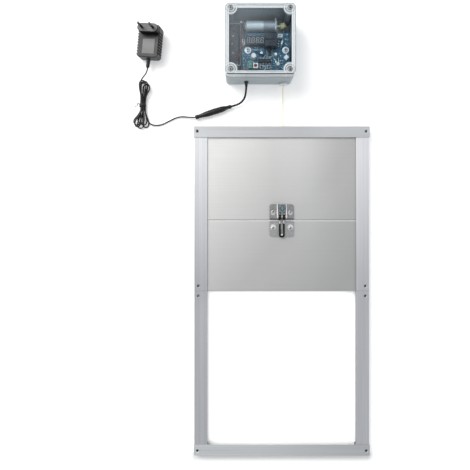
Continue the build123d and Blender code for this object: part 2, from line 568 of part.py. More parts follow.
lead_parts = []
dio = tube([(-4.0, 406.6, PZ), (-4.0, 406.6, PZ + 4.4), (-0.4, 419.0, PZ + 4.4), (-0.4, 419.0, PZ)], 0.7, "diode_lead")
mid = Vector(-2.2, 412.8, PZ + 4.4)
ddir = Vector(3.6, 12.4, 0).normalized()
dbody = Plane(origin=mid - ddir * 3.2, z_dir=ddir) * Circle(1.4)
lead_parts.append(solid(dio + extrude(dbody, 6.4)))
res = tube([(-49.6, 401.0, PZ), (-49.6, 401.0, PZ + 2.6), (-40.6, 401.0, PZ + 2.6), (-40.6, 401.0, PZ)], 0.6, "resistor_lead")
lead_parts.append(solid(res + cx(-48.2, -42.0, 401.0, PZ + 2.6, 1.2)))
put("passive_components", *(caps + lead_parts))

# trimmers: white square one, and a small one turned through 45 degrees
T1X, T1Y = -46.0, 375.2
T2X, T2Y = 5.0, 389.0
t1 = rbox(T1X - 4.1, T1X + 4.1, T1Y - 4.1, T1Y + 4.1, PZ, PZ + 5.0, 0.5)
t1 -= cz(T1X, T1Y, PZ + 3.0, PZ + 6, 2.75)
t1 -= cz(T1X, T1Y, PZ + 1.0, PZ + 6, 1.05)
t2 = Pos(T2X, T2Y, PZ + 2.2) * Rot(0, 0, 45) * fillet(Box(6.4, 6.4, 4.4).edges().filter_by(Axis.Z), 0.4)
t2 -= cz(T2X, T2Y, PZ + 2.6, PZ + 6, 2.15)
t2 -= cz(T2X, T2Y, PZ + 0.8, PZ + 6, 0.85)
put("trimmer_bodies", solid(t1), solid(t2))


def rotor(x, y, r, rs, z_seat, z_top, z_stem, slot):
    p = cz(x, y, z_seat, z_top, r) + cz(x, y, z_stem, z_seat + 0.01, rs)
    p -= bx(x - r * 0.8, x + r * 0.8, y - slot / 2, y + slot / 2, z_top - 0.8, z_top + 1)
    return solid(p)


put("trimmer_rotor_large", rotor(T1X, T1Y, 2.7, 1.0, PZ + 3.1, PZ + 5.5, PZ + 1.1, 0.8))
put("trimmer_rotor_small", rotor(T2X, T2Y, 2.1, 0.8, PZ + 2.7, PZ + 4.8, PZ + 0.9, 0.6))

# push buttons: housing with a round plunger that stands 1.4 mm out of it
B1X, B2X, BTY = -35.8, -24.2, 373.3
BTN_TRAVEL = 0.3
hs, pl = [], []
for b in (B1X, B2X):
    h = rbox(b - 3.0, b + 3.0, BTY - 3.0, BTY + 3.0, PZ, PZ + 3.6, 0.3)
    h -= cz(b, BTY, PZ + 1.6, PZ + 5, 1.85)
    hs.append(solid(h))
    p = cz(b, BTY, PZ + 1.95, PZ + 5.0, 1.75)
    p = fillet(p.edges().filter_by(GeomType.CIRCLE).sort_by(Axis.Z)[-1], 0.3)
    pl.append(p)
put("button_housings", *hs)
put("button_left", pl[0])
put("button_right", pl[1])

# battery: one cell in an open holder on the floor of the base
HX0, HX1, HY0, HY1 = -90.6, -70.4, 381.6, 454.4
HZ0 = 2.8
hol = rbox(HX0, HX1, HY0, HY1, HZ0, HZ0 + 15.0, 1.0)
hol -= bx(HX0 + 0.8, HX1 - 0.8, HY0 + 2.0, HY1 - 2.0, HZ0 + 1.2, HZ0 + 16)
hol -= bx(HX0 - 1, HX1 + 1, HY0 + 14, HY1 - 14, HZ0 + 9.5, HZ0 + 16)
for y in (400.0, 436.0):
    hol -= cz((HX0 + HX1) / 2, y, HZ0 - 1, HZ0 + 3, 2.0)
put("battery_holder", solid(hol))

CX_, CZ_ = (HX0 + HX1) / 2, HZ0 + 1.25 + 7.1
pack = Pos(CX_, (HY0 + HY1) / 2, CZ_) * Box(17.6, 64.8, 14.2)
pack = fillet(pack.edges().filter_by(Axis.Y), 3.0)
pack = fillet(pack.faces().sort_by(Axis.Y)[0].edges() + pack.faces().sort_by(Axis.Y)[-1].edges(), 0.8)
put("battery_cell", solid(pack))

k1 = bx(CX_ - 6, CX_ + 6, HY1 - 2.5, HY1 - 2.05, HZ0 + 3, HZ0 + 15.8) + bx(CX_ - 3, CX_ + 3, HY1 - 3.95, HY1 - 2.4, CZ_ - 2, CZ_ + 2)
k2 = bx(CX_ - 6, CX_ + 6, HY0 + 2.05, HY0 + 2.5, HZ0 + 3, HZ0 + 15.8) + cy(CX_, HY0 + 2.4, HY0 + 3.95, CZ_, 3.2) - cy(CX_, HY0 + 2.4, HY0 + 5, CZ_, 2.2)
put("battery_contacts", solid(k1), solid(k2))

# wiring inside the box
wires = [
    tube([(-65.0, DRV_Y - 4.8, DRV_Z), (-68.0, DRV_Y - 9.0, 26.0), (-68.8, 427.0, 33.0), (-67.6, 421.5, 37.6), (-65.6, 418.0, 38.6)],
         1.4, "motor_wire_a"),
    tube([(-65.0, DRV_Y + 4.8, DRV_Z), (-68.6, DRV_Y, 25.5), (-66.0, 439.0, 33.5), (-63.6, 428.5, 39.5), (-64.6, 419.5, 42.6),
          (-65.5, 414.0, 41.2)], 1.4, "motor_wire_b"),
    tube([(CX_ - 4.0, 384.6, HZ0 + 15.6), (-83.6, 386.6, 22.0), (-78.6, 389.6, 22.4), (-73.2, 395.6, 24.6), (-70.6, 402.6, 33.0),
          (-69.0, 408.0, 39.8), (-66.0, 412.0, 41.0)], 1.4, "battery_wire"),
    tube([(CAB_X - 0.6, yb + 6.6, CAB_Z + 0.6), (-62.5, 364.0, 21.0), (-65.2, 366.2, 28.5), (-64.0, 367.4, 36.0), (-60.5, 370.2, 39.6),
          (-57.6, 373.2, 38.6)], 1.4, "power_wire"),
]
put("wiring", *wires)

# ------------------------------------------------------------ leads, connector
pig_pts = [(CAB_X, yb - 7.7, CAB_Z), (CAB_X - 0.6, 333.4, 15.0), (-66.2, 324.6, 9.6), (-74.8, 319.2, 6.0), (-86.3, 316.5, 5.2)]
put("pigtail_cord", tube(pig_pts, PIG_D, "pigtail"))

SOCK = Vector(-86.3, 316.5, 5.2)
PLUG = Vector(-147.8, 297.4, 5.2)
axis_dir = (PLUG - SOCK).normalized()
full = (PLUG - SOCK).length
half = full * 0.5


def revolved(profile, origin, direction):
    """profile: (distance along the axis, radius) pairs, revolved about the axis."""
    pts = [(0, profile[0][0])] + [(r, a) for a, r in profile] + [(0, profile[-1][0])]
    face = Plane.XZ * make_face(Polyline(*pts, close=True))
    s = revolve(face, Axis.Z)
    return Plane(origin=origin, z_dir=direction) * s


sock = revolved([(0, 2.7), (0.5, 3.2), (4.2, 3.2), (4.6, 2.8), (5.6, 2.8), (9, 3.4), (13, 4.4), (18, 5.0), (half - 1.0, 5.15), (half - 0.1, 4.95)],
                SOCK, axis_dir)
# the socket's bore that takes the plug's barrel
sock -= revolved([(half - 10.0, 2.8), (half + 1, 2.8)], SOCK, axis_dir)
put("dc_socket", solid(sock))
plg = revolved([(half + 0.1, 4.9), (half + 1.0, 5.1), (half + 8, 5.0), (half + 15, 4.4), (half + 21, 3.6), (full - 7.2, 3.1),
                (full - 6.2, 3.1), (full - 5.8, 3.6), (full - 0.6, 3.6), (full, 3.1)], SOCK, axis_dir)
plg += revolved([(half - 9.5, 2.72), (half + 0.2, 2.72)], SOCK, axis_dir)
put("dc_plug", solid(plg))

lead1 = [(PLUG.X, PLUG.Y, PLUG.Z), (-158.6, 297.9, 3.6), (-169.4, 299.8, 2.0), (-180.4, 298.4, 1.5), (-193.6, 291.9, 1.4),
         (-205.6, 285.6, 1.5), (-216.4, 284.2, 1.9), (-227.2, 286.2, 2.4)]
put("lead_plug_side", tube(lead1, LEAD_D, "lead_plug_side"))

HZ = 9.6
hank_pts = [(-245.5, 352), (-244.5, 359), (-239.5, 361.2), (-229, 360.2), (-225.2, 354.5), (-229.4, 341), (-233.6, 319), (-231.5, 303),
            (-227.2, 288), (-230, 280.6), (-240, 277.6), (-251, 281), (-255.4, 288), (-252.4, 298), (-246.6, 308), (-243.2, 319),
            (-245.6, 338)]
hank = extrude(Pos(0, 0, 0.0) * make_face(Polyline(*hank_pts, close=True)), HZ)
hank = chamfer(hank.faces().sort_by(Axis.Z)[-1].edges(), 2.4)
# the waist is cut for the tie
tie_cut = bx(-260, -220, 316.6, 321.4, -1, 20)
waist = extrude(make_face(Polyline((-242.6, 310), (-234.2, 310), (-234.2, 328), (-242.6, 328), close=True)), HZ - 0.6)
waist = fillet(waist.edges().filter_by(Axis.Y), 2.5)
hank = (hank - tie_cut) + (waist & tie_cut)
put("lead_hank", solid(hank))

tie = extrude(Plane.XZ.offset(-317.0) * Pos(-238.4, 4.7) * RectangleRounded(10.2, 9.4, 3.0), -4.0)
tie -= extrude(Plane.XZ.offset(-316.0) * Pos(-238.4, 4.7) * RectangleRounded(8.5, 9.0, 2.4), -6.0)
tie += bx(-252.0, -242.6, 318.4, 320.0, 2.2, 2.8)
put("hank_tie", solid(tie))

# ------------------------------------------------------------------- adapter
# local frame: x across, y up the body, z out of the pin face; then it is
# turned a little and leans on the rounded edge of its table side
ribs_y = [6.4 + 4.7 * i for i in range(8)]


def ad_half(z0, z1, r_edge, top):
    b = bx(-AD_W / 2, AD_W / 2, 0, AD_H, z0, z1)
    b = fillet(b.edges().filter_by(Axis.Z), 6.0)
    face = b.faces().sort_by(Axis.Z)[-1 if top else 0]
    b = fillet(face.edges(), r_edge)
    inner = bx(-AD_W / 2 + 3.6, AD_W / 2 - 3.6, 2, AD_H - 2, z0 + (0 if top else 2), z1 - (2 if top else 0))
    inner = fillet(inner.edges().filter_by(Axis.Z), 4.0)
    b -= inner
    for y in ribs_y:
        for sx in (-1, 1):
            b -= bx(*sorted((sx * (AD_W / 2 - 1.9), sx * (AD_W / 2 + 1))), y, y + 2.4, z0 - 1, z1 + 1)
    return b


rear = ad_half(0, 13.0, 4.5, False)
front = ad_half(13.0, AD_D, 1.3, True)
# raised oval plug base near the top of the pin face
OV_X, OV_Y = 1.0, AD_H - 9.4
OV_H = 12.2
oval = extrude(Pos(OV_X, OV_Y, AD_D - 2.0) * SlotOverall(35.3, 14.2), 2.0 + OV_H)
oval = fillet(oval.faces().sort_by(Axis.Z)[-1].edges(), 1.0)
front += oval
# shallow blank panel
front -= bx(-9.8, 11.8, 5.8, 30.4, AD_D - 0.4, AD_D + 1)
# cord hole, half in each shell
hole = cy(0, -2, 4, 13.0, 2.6)
front -= hole
rear -= hole
PIN_Z0 = AD_D + OV_H
ad_pins = []
for sx in (-1, 1):
    a = math.radians(sx * 2.0)
    front -= cz(OV_X + sx * 9.5, OV_Y, PIN_Z0 - 3.0, PIN_Z0 + 1, 2.0)
    pin = cz(OV_X + sx * 9.5, OV_Y, PIN_Z0 - 3.0, PIN_Z0 + 10.0, 1.9) + cz(OV_X + sx * 9.5, OV_Y, PIN_Z0 + 9.9, PIN_Z0 + 19.0, 2.0)
    pin = fillet(pin.edges().filter_by(GeomType.CIRCLE).sort_by(Axis.Z)[-1], 1.2)
    ad_pins.append(pin)
relief = revolved([(-4.0, 4.0), (-2.2, 4.0), (-2.1, 2.5), (0.0, 2.5), (0.1, 3.5), (3.0, 3.35), (9.0, 3.1), (14.0, 2.8), (15.0, 2.2)],
                  (0, 0, 13.0), (0, -1, 0))

YAW, ROLL, PITCH = -6.0, -9.0, 3.0
place0 = Rot(0, 0, YAW) * Rot(PITCH, ROLL, 0)
low = min((place0 * rear).bounding_box().min.Z, (place0 * front).bounding_box().min.Z)
AD_LOC = Pos(-224.6, 395.4, -low + 0.02) * place0
put("adapter_case_rear", solid(AD_LOC * rear))
put("adapter_case_front", solid(AD_LOC * front))
put("adapter_pins", *[solid(AD_LOC * p) for p in ad_pins])
put("adapter_strain_relief", solid(AD_LOC * relief))

# lead from the strain relief to the top of the hank
tip = (AD_LOC * Pos(0, -15.0, 13.0)).position
tdir = ((AD_LOC * Pos(0, -25.0, 13.0)).position - tip).normalized()
p1 = tip + tdir * 8.0
print("   pins top", max((AD_LOC * p).bounding_box().max.Z for p in ad_pins))
print("   strain relief tip %.2f %.2f %.2f  next %.2f %.2f %.2f" % (tip.X, tip.Y, tip.Z, p1.X, p1.Y, p1.Z))
lead2 = [(tip.X, tip.Y, tip.Z), (p1.X, p1.Y, p1.Z), (-232.8, 366.4, 7.6), (-237.2, 360.2, 5.2)]
put("lead_adapter_side", tube(lead2, LEAD_D, "lead_adapter_side"))

print(len(WRITTEN), "nodes")
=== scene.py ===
"""The looks of an automatic coop door: frame, leaf with latch, pull cord, control box, mains adapter and lead."""
import json
import math
import random

import bmesh
import bpy
from mathutils import Matrix, Vector

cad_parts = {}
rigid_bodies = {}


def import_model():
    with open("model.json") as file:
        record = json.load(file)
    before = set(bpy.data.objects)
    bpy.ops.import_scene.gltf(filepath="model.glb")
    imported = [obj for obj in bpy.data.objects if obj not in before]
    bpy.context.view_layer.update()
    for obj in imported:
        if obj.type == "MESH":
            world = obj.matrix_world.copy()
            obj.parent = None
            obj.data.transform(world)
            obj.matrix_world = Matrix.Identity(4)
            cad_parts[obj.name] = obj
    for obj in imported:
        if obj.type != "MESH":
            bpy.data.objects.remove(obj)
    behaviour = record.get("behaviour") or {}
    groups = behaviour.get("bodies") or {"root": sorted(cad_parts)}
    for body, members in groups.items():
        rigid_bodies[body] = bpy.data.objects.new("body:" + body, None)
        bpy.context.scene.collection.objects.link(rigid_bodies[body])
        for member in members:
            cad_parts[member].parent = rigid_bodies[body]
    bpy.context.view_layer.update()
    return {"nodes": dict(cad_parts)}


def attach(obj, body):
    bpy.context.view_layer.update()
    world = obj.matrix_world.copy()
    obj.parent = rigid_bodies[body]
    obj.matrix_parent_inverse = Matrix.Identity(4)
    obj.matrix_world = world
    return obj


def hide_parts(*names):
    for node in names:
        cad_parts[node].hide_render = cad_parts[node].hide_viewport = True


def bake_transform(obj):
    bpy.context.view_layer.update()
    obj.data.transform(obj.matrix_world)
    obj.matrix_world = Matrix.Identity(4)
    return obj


for o in list(bpy.data.objects):
    bpy.data.objects.remove(o)

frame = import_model()
N = frame["nodes"]
MM = 0.001
rng = random.Random(7)
COL = bpy.context.scene.collection


def mm(*p):
    return Vector(p) * MM


# ------------------------------------------------------------------ the camera
cam_data = bpy.data.cameras.new("camera")
cam_data.sensor_width = 36.0
cam_data.lens = 36.98
cam_data.clip_start = 0.02
cam_data.clip_end = 20.0
cam = bpy.data.objects.new("camera", cam_data)
cam.location = mm(-79.8, 95.5, 835.0)
cam.rotation_euler = (0.0, 0.0, 0.0)
COL.objects.link(cam)
bpy.context.scene.camera = cam


# ------------------------------------------------------------ material helpers
class Nodes:
    """A material with one Principled shader and short calls for the nodes in front of it."""

    def __init__(self, name):
        self.m = bpy.data.materials.new(name)
        self.m.use_nodes = True
        self.nt = self.m.node_tree
        self.nt.nodes.clear()
        self.out = self.nt.nodes.new("ShaderNodeOutputMaterial")
        self.b = self.nt.nodes.new("ShaderNodeBsdfPrincipled")
        self.nt.links.new(self.b.outputs[0], self.out.inputs[0])
        self.tc = self.nt.nodes.new("ShaderNodeTexCoord")

    def link(self, a, b):
        self.nt.links.new(a, b)

    def coord(self, scale=(1, 1, 1), rot=(0, 0, 0), loc=(0, 0, 0)):
        n = self.nt.nodes.new("ShaderNodeMapping")
        n.inputs["Scale"].default_value = scale
        n.inputs["Rotation"].default_value = rot
        n.inputs["Location"].default_value = loc
        self.link(self.tc.outputs["Object"], n.inputs["Vector"])
        return n.outputs[0]

    def noise(self, scale=(1, 1, 1), detail=3.0, rough=0.55, dist=0.0, rot=(0, 0, 0), loc=(0, 0, 0)):
        n = self.nt.nodes.new("ShaderNodeTexNoise")
        n.inputs["Scale"].default_value = 1.0
        n.inputs["Detail"].default_value = detail
        n.inputs["Roughness"].default_value = rough
        n.inputs["Distortion"].default_value = dist
        self.link(self.coord(scale, rot, loc), n.inputs["Vector"])
        return n.outputs["Fac"]

    def voronoi(self, scale=(1, 1, 1), feature="F1", out="Distance"):
        n = self.nt.nodes.new("ShaderNodeTexVoronoi")
        n.feature = feature
        n.inputs["Scale"].default_value = 1.0
        self.link(self.coord(scale), n.inputs["Vector"])
        return n.outputs[out]

    def wave(self, scale=(1, 1, 1), rot=(0, 0, 0), dist=0.0, direction="X"):
        n = self.nt.nodes.new("ShaderNodeTexWave")
        n.wave_type = "BANDS"
        n.bands_direction = direction
        n.inputs["Scale"].default_value = 1.0
        n.inputs["Distortion"].default_value = dist
        n.inputs["Detail"].default_value = 2.0
        self.link(self.coord(scale, rot), n.inputs["Vector"])
        return n.outputs["Fac"]

    def math(self, op, a, b=None, c=None, clamp=False):
        n = self.nt.nodes.new("ShaderNodeMath")
        n.operation = op
        n.use_clamp = clamp
        for i, v in enumerate((a, b, c)):
            if v is None:
                continue
            if isinstance(v, (int, float)):
                n.inputs[i].default_value = v
            else:
                self.link(v, n.inputs[i])
        return n.outputs[0]

    def remap(self, v, a, b, c, d, smooth=False):
        n = self.nt.nodes.new("ShaderNodeMapRange")
        n.interpolation_type = "SMOOTHSTEP" if smooth else "LINEAR"
        self.link(v, n.inputs["Value"])
        for k, x in zip(("From Min", "From Max", "To Min", "To Max"), (a, b, c, d)):
            n.inputs[k].default_value = x
        return n.outputs["Result"]

    def ramp(self, v, stops):
        n = self.nt.nodes.new("ShaderNodeValToRGB")
        e = n.color_ramp.elements
        while len(e) > 1:
            e.remove(e[-1])
        for i, (p, c) in enumerate(stops):
            x = e[0] if i == 0 else e.new(p)
            x.position = p
            x.color = (c[0], c[1], c[2], 1.0)
        self.link(v, n.inputs["Fac"])
        return n.outputs["Color"]

    def mix(self, fac, a, b, kind="MIX"):
        n = self.nt.nodes.new("ShaderNodeMix")
        n.data_type = "RGBA"
        n.blend_type = kind
        if isinstance(fac, (int, float)):
            n.inputs[0].default_value = fac
        else:
            self.link(fac, n.inputs[0])
        for s, v in ((6, a), (7, b)):
            if isinstance(v, tuple):
                n.inputs[s].default_value = (v[0], v[1], v[2], 1.0)
            else:
                self.link(v, n.inputs[s])
        return n.outputs[2]

    def bump(self, h, strength, distance, normal=None):
        n = self.nt.nodes.new("ShaderNodeBump")
        n.inputs["Strength"].default_value = strength
        n.inputs["Distance"].default_value = distance
        self.link(h, n.inputs["Height"])
        if normal is not None:
            self.link(normal, n.inputs["Normal"])
        return n.outputs[0]

    def xyz(self):
        n = self.nt.nodes.new("ShaderNodeSeparateXYZ")
        self.link(self.tc.outputs["Object"], n.inputs[0])
        return n.outputs

    def set(self, **kw):
        for k, v in kw.items():
            s = self.b.inputs[k.replace("_", " ")]
            if isinstance(v, (int, float)):
                s.default_value = v
            elif isinstance(v, tuple):
                s.default_value = (v[0], v[1], v[2], 1.0)
            else:
                self.link(v, s)
        return self.m


def shade(c, k):
    return tuple(max(0.0, min(1.0, x * k)) for x in c)


def brushed(name, col, rough=0.34, along="Y", streak=0.10, fine=1.0, metal=1.0, tint=None, painted_shade_fade=None, bands=0.35, ends=()):
    """Bare metal with fine lines along one axis, smudges and small scratches; painted_shade_fade = (y, y, weight,
    colour) darkens the colour towards one end as painted shade, and ends holds (y0, y1, x0, x1, factor) regions
    darkened as painted shade.
    """
    n = Nodes(name)
    across, length = 2600.0 * fine, 9.0
    s = {"X": (length, across, across), "Y": (across, length, across), "Z": (across, across, length)}[along]
    s2 = {"X": (2.5, 420, 420), "Y": (420, 2.5, 420), "Z": (420, 420, 2.5)}[along]
    lines = n.noise(s, 4.0, 0.65)
    broad = n.noise(s2, 2.0, 0.5)
    smudge = n.noise((22, 22, 22), 4.0, 0.6, 0.4)
    both = n.math("ADD", n.math("MULTIPLY", lines, 1.0 - bands), n.math("MULTIPLY", broad, bands))
    c1 = n.ramp(both, [(0.28, shade(col, 1 - streak)), (0.5, col), (0.72, shade(col, 1 + streak * 0.8))])
    c2 = n.mix(n.remap(smudge, 0.35, 0.75, 0.0, 0.10), c1, shade(tint or col, 0.82))
    # painted shade: the colour darkens towards one end of the part
    if painted_shade_fade:
        c2 = n.mix(n.remap(n.xyz()[1], painted_shade_fade[0], painted_shade_fade[1], 0.0, painted_shade_fade[2]), c2, painted_shade_fade[3], "MULTIPLY")
    # painted shade: each entry of ends darkens one region by its factor
    for y0, y1, x0, x1, k in ends:
        f = n.math("MULTIPLY", n.remap(n.xyz()[1], y0, y1, 0.0, 1.0), n.remap(n.xyz()[0], x0, x1, 0.0, 1.0))
        c2 = n.mix(f, c2, (k, k, k), "MULTIPLY")
    r = n.math("ADD", n.remap(both, 0.3, 0.7, rough - 0.05, rough + 0.07), n.remap(smudge, 0.3, 0.7, -0.03, 0.05))
    scratch = n.noise((900, 60, 900), 1.0, 0.4, 0.0, rot=(0, 0, 0.5))
    h = n.math("ADD", lines, n.remap(scratch, 0.72, 0.78, 0.0, -0.6))
    return n.set(Base_Color=c2, Roughness=r, Metallic=metal, Normal=n.bump(h, 0.16, 0.00003))


def plated(name, col, rough=0.16, metal=1.0):
    """Bright plating with faint waviness and finger marks."""
    n = Nodes(name)
    smudge = n.noise((140, 140, 140), 4.0, 0.6, 0.6)
    fine = n.noise((1800, 1800, 1800), 3.0, 0.6)
    c = n.mix(n.remap(smudge, 0.4, 0.75, 0.0, 0.22), n.ramp(fine, [(0.3, shade(col, 0.92)), (0.7, col)]), shade(col, 0.7))
    r = n.remap(smudge, 0.3, 0.75, rough, rough + 0.16)
    return n.set(Base_Color=c, Roughness=r, Metallic=metal, Normal=n.bump(n.noise((260, 260, 260), 3.0), 0.22, 0.0002))


def plastic(name, col, rough=0.45, grain=2200.0, depth=0.12, vary=0.07, speck=0.0, dust=0.0, coat=0.0, spec=0.5):
    """Moulded plastic: fine moulded grain, slight colour drift, rub marks, optional specks and dust."""
    n = Nodes(name)
    drift = n.noise((30, 30, 30), 3.0, 0.5, 0.3)
    g = n.noise((grain, grain, grain), 3.0, 0.6)
    c = n.ramp(drift, [(0.3, shade(col, 1 - vary)), (0.7, shade(col, 1 + vary))])
    if speck:
        s = n.noise((grain * 0.7,) * 3, 2.0, 0.7, loc=(3, 5, 7))
        c = n.mix(n.remap(s, 0.56, 0.66, 0.0, speck), c, tuple(min(1.0, x * 2.2 + 0.05) for x in col))
    if dust:
        d = n.noise((70, 70, 70), 5.0, 0.7, 0.5)
        c = n.mix(n.remap(d, 0.5, 0.8, 0.0, dust), c, (0.6, 0.6, 0.58))
    rub = n.noise((90, 90, 90), 4.0, 0.65, 0.4, loc=(1, 2, 3))
    r = n.remap(rub, 0.3, 0.7, rough - 0.06, rough + 0.10)
    m = n.set(Base_Color=c, Roughness=r, Normal=n.bump(g, depth, 0.00006))
    n.b.inputs["Coat Weight"].default_value = coat
    n.b.inputs["Specular IOR Level"].default_value = spec
    return m


def braid(name, col):
    """Braided cord: two crossing sets of strands with fibre noise."""
    n = Nodes(name)
    a = n.wave((1, 1, 1), (0, 0, 0), 0.0)
    w1 = n.nt.nodes.new("ShaderNodeTexWave")
    w2 = n.nt.nodes.new("ShaderNodeTexWave")
    for w, ang in ((w1, 0.65), (w2, -0.65)):
        w.bands_direction = "Y"
        w.inputs["Scale"].default_value = 1.0
        w.inputs["Distortion"].default_value = 0.4
        n.link(n.coord((320, 320, 320), (ang, 0, ang)), w.inputs["Vector"])
    h = n.math("MAXIMUM", w1.outputs["Fac"], w2.outputs["Fac"])
    f = n.noise((4000, 900, 4000), 3.0, 0.7)
    hh = n.math("ADD", h, n.math("MULTIPLY", f, 0.3))
    c = n.ramp(hh, [(0.15, shade(col, 0.62)), (0.55, shade(col, 0.93)), (0.95, col)])
    m = n.set(Base_Color=c, Roughness=0.85, Normal=n.bump(hh, 0.5, 0.00012))
    n.b.inputs["Sheen Weight"].default_value = 0.25
    return m


M = {}
# painted shade: the bars darken a little towards the top, at the left of the top bar and towards the right of the
# bottom bar
M["bar"] = brushed("bar_aluminium", (0.59, 0.603, 0.62), 0.48, "X", 0.16, 1.0, 0.45, None, (-0.2, 0.2, 1.0, (0.93, 0.93, 0.93)), 0.55,
                   [(0.19, 0.2, 0.075, 0.03, 0.90), (-0.19, -0.2, -0.04, 0.14, 0.74)])
# painted shade: the channels darken towards the bottom and on their upper parts, the left one more
M["channel"] = brushed("channel_aluminium", (0.75, 0.757, 0.79), 0.50, "Y", 0.17, 1.0, 0.35, None, (0.235, -0.01, 1.0, (0.58, 0.585, 0.59)), 0.6,
                       [(-0.03, 0.01, 0.01, -0.01, 0.86), (0.0, 0.03, -0.01, 0.01, 0.965)])
M["splice"] = brushed("splice_aluminium", (0.6, 0.61, 0.62), 0.45, "Y", 0.12)
M["bright"] = plated("bright_steel", (0.40, 0.405, 0.41), 0.22)
# painted highlights: a near-white copy of the steel for the latch's raised rails and the keeper's raised middle
M["rail"] = plated("rail_painted_highlight", (0.97, 0.97, 0.96), 0.30, 0.35)
M["dark_steel"] = plastic("black_wire_coat", (0.004, 0.004, 0.0045), 0.50, 1400, 0.10, 0.25, spec=0.16)
# painted shade: near-black for the screws' cross recesses and the battery pack's vents
M["recess"] = plastic("recess_painted_shade", (0.012, 0.012, 0.013), 0.6, 1800, 0.1, 0.2)
M["screw"] = brushed("screw_steel", (0.62, 0.62, 0.62), 0.30, "X", 0.16, 0.6)
M["screw_dull"] = brushed("screw_zinc", (0.36, 0.37, 0.34), 0.34, "X", 0.22, 0.6)
M["rivet"] = plated("rivet_steel", (0.70, 0.70, 0.71), 0.22)
M["motor"] = brushed("motor_steel", (0.92, 0.985, 1.0), 0.42, "Z", 0.14, 0.7, 0.42)
M["gearbox"] = brushed("gearbox_steel", (0.52, 0.55, 0.58), 0.40, "Z", 0.20, 0.7, 0.6)
M["bracket"] = brushed("bracket_steel", (0.86, 0.88, 0.88), 0.36, "Y", 0.08, 0.7, 0.5)
M["brass"] = brushed("brass", (0.80, 0.60, 0.26), 0.24, "Z", 0.12, 0.8)
M["cord"] = braid("cream_cord", (0.88, 0.80, 0.50))
M["bushing"] = plastic("bushing_plastic", (0.62, 0.65, 0.68), 0.40, 1500, 0.10)

M["seal"] = plastic("black_rubber", (0.03, 0.03, 0.032), 0.75, 1800, 0.2, 0.15, 0.0, 0.15)
M["grommet"] = plastic("grommet_rubber", (0.025, 0.025, 0.028), 0.55, 1800, 0.18, 0.15)
M["white"] = plastic("white_plastic", (0.80, 0.81, 0.78), 0.38, 1800, 0.08, 0.05)
M["display"] = plastic("display_black", (0.018, 0.018, 0.022), 0.16, 900, 0.03, 0.10, 0.0, 0.0, 0.6)
M["relay"] = plastic("relay_dark", (0.016, 0.021, 0.032), 0.34, 1600, 0.10, 0.12, 0.0, 0.05)
M["chip"] = plastic("chip_black", (0.014, 0.014, 0.016), 0.48, 2400, 0.20, 0.18, 0.06)
M["pin_tin"] = plated("pin_tin", (0.75, 0.75, 0.72), 0.25)
M["cap_white"] = plastic("cap_white", (0.84, 0.84, 0.82), 0.28, 1200, 0.06, 0.05)
M["cap_blue"] = plastic("cap_sleeve", (0.06, 0.09, 0.20), 0.28, 1200, 0.06, 0.12)
M["cap_top"] = brushed("cap_top", (0.75, 0.76, 0.77), 0.28, "X", 0.12, 0.6)
M["film"] = plastic("film_part", (0.80, 0.80, 0.72), 0.30, 1200, 0.08, 0.05)
M["diode"] = plastic("diode_body", (0.70, 0.74, 0.74), 0.25, 1500, 0.06, 0.08)
M["resistor"] = plastic("resistor_body", (0.20, 0.48, 0.62), 0.32, 1500, 0.10, 0.08)
M["green"] = plastic("green_plastic", (0.16, 0.40, 0.30), 0.32, 1600, 0.08, 0.10)
M["trim_white"] = plastic("trimmer_white", (0.86, 0.86, 0.84), 0.32, 1600, 0.08, 0.05)
M["trim_red"] = plastic("trimmer_red", (0.30, 0.05, 0.04), 0.30, 1600, 0.08, 0.10)
M["sensor"] = plastic("sensor_face", (0.80, 0.76, 0.62), 0.28, 1400, 0.06, 0.06)
M["sensor_slot"] = plastic("sensor_track", (0.30, 0.18, 0.10), 0.35, 1600, 0.1, 0.1)
M["button"] = plastic("black_plastic", (0.02, 0.02, 0.022), 0.36, 1800, 0.12, 0.15)
M["holder"] = plastic("holder_pale", (0.66, 0.70, 0.70), 0.42, 1500, 0.14, 0.08, 0.0, 0.06)
M["cell"] = plastic("cell_sleeve", (0.088, 0.092, 0.138), 0.34, 500, 0.10, 0.20, 0.10, 0.06)
M["red_wire"] = plastic("red_wire", (0.55, 0.035, 0.03), 0.34, 1500, 0.06, 0.10)
M["black_wire"] = plastic("black_wire", (0.02, 0.02, 0.022), 0.34, 1500, 0.06, 0.10)
M["white_wire"] = plastic("white_wire", (0.78, 0.80, 0.78), 0.36, 1500, 0.06, 0.06)
M["lead"] = plastic("lead_black", (0.006, 0.006, 0.0065), 0.42, 1100, 0.10, 0.25, spec=0.35)
M["dc"] = plastic("connector_black", (0.006, 0.006, 0.0065), 0.30, 1300, 0.30, 0.25, spec=0.4)
M["adapter"] = plastic("adapter_plastic", (0.036, 0.036, 0.037), 0.50, 1300, 0.45, 0.12, 0.24, 0.03, spec=0.45)
M["relief"] = plastic("relief_black", (0.008, 0.008, 0.009), 0.48, 1300, 0.12, 0.15, spec=0.35)
# painted light: a lighter copy of the case plastic for the top of the raised plug base
M["adapter_top_painted_light"] = plastic("adapter_plug_top_painted_light", (0.092, 0.092, 0.093), 0.46, 1300, 0.45, 0.12, 0.20, 0.04, spec=0.5)
M["label"] = plastic("label_face", (0.152, 0.152, 0.152), 0.44, 1500, 0.12, 0.12, 0.22)
M["sleeve"] = plastic("pin_sleeve", (0.003, 0.003, 0.0035), 0.42, 1500, 0.06, 0.1, spec=0.2)
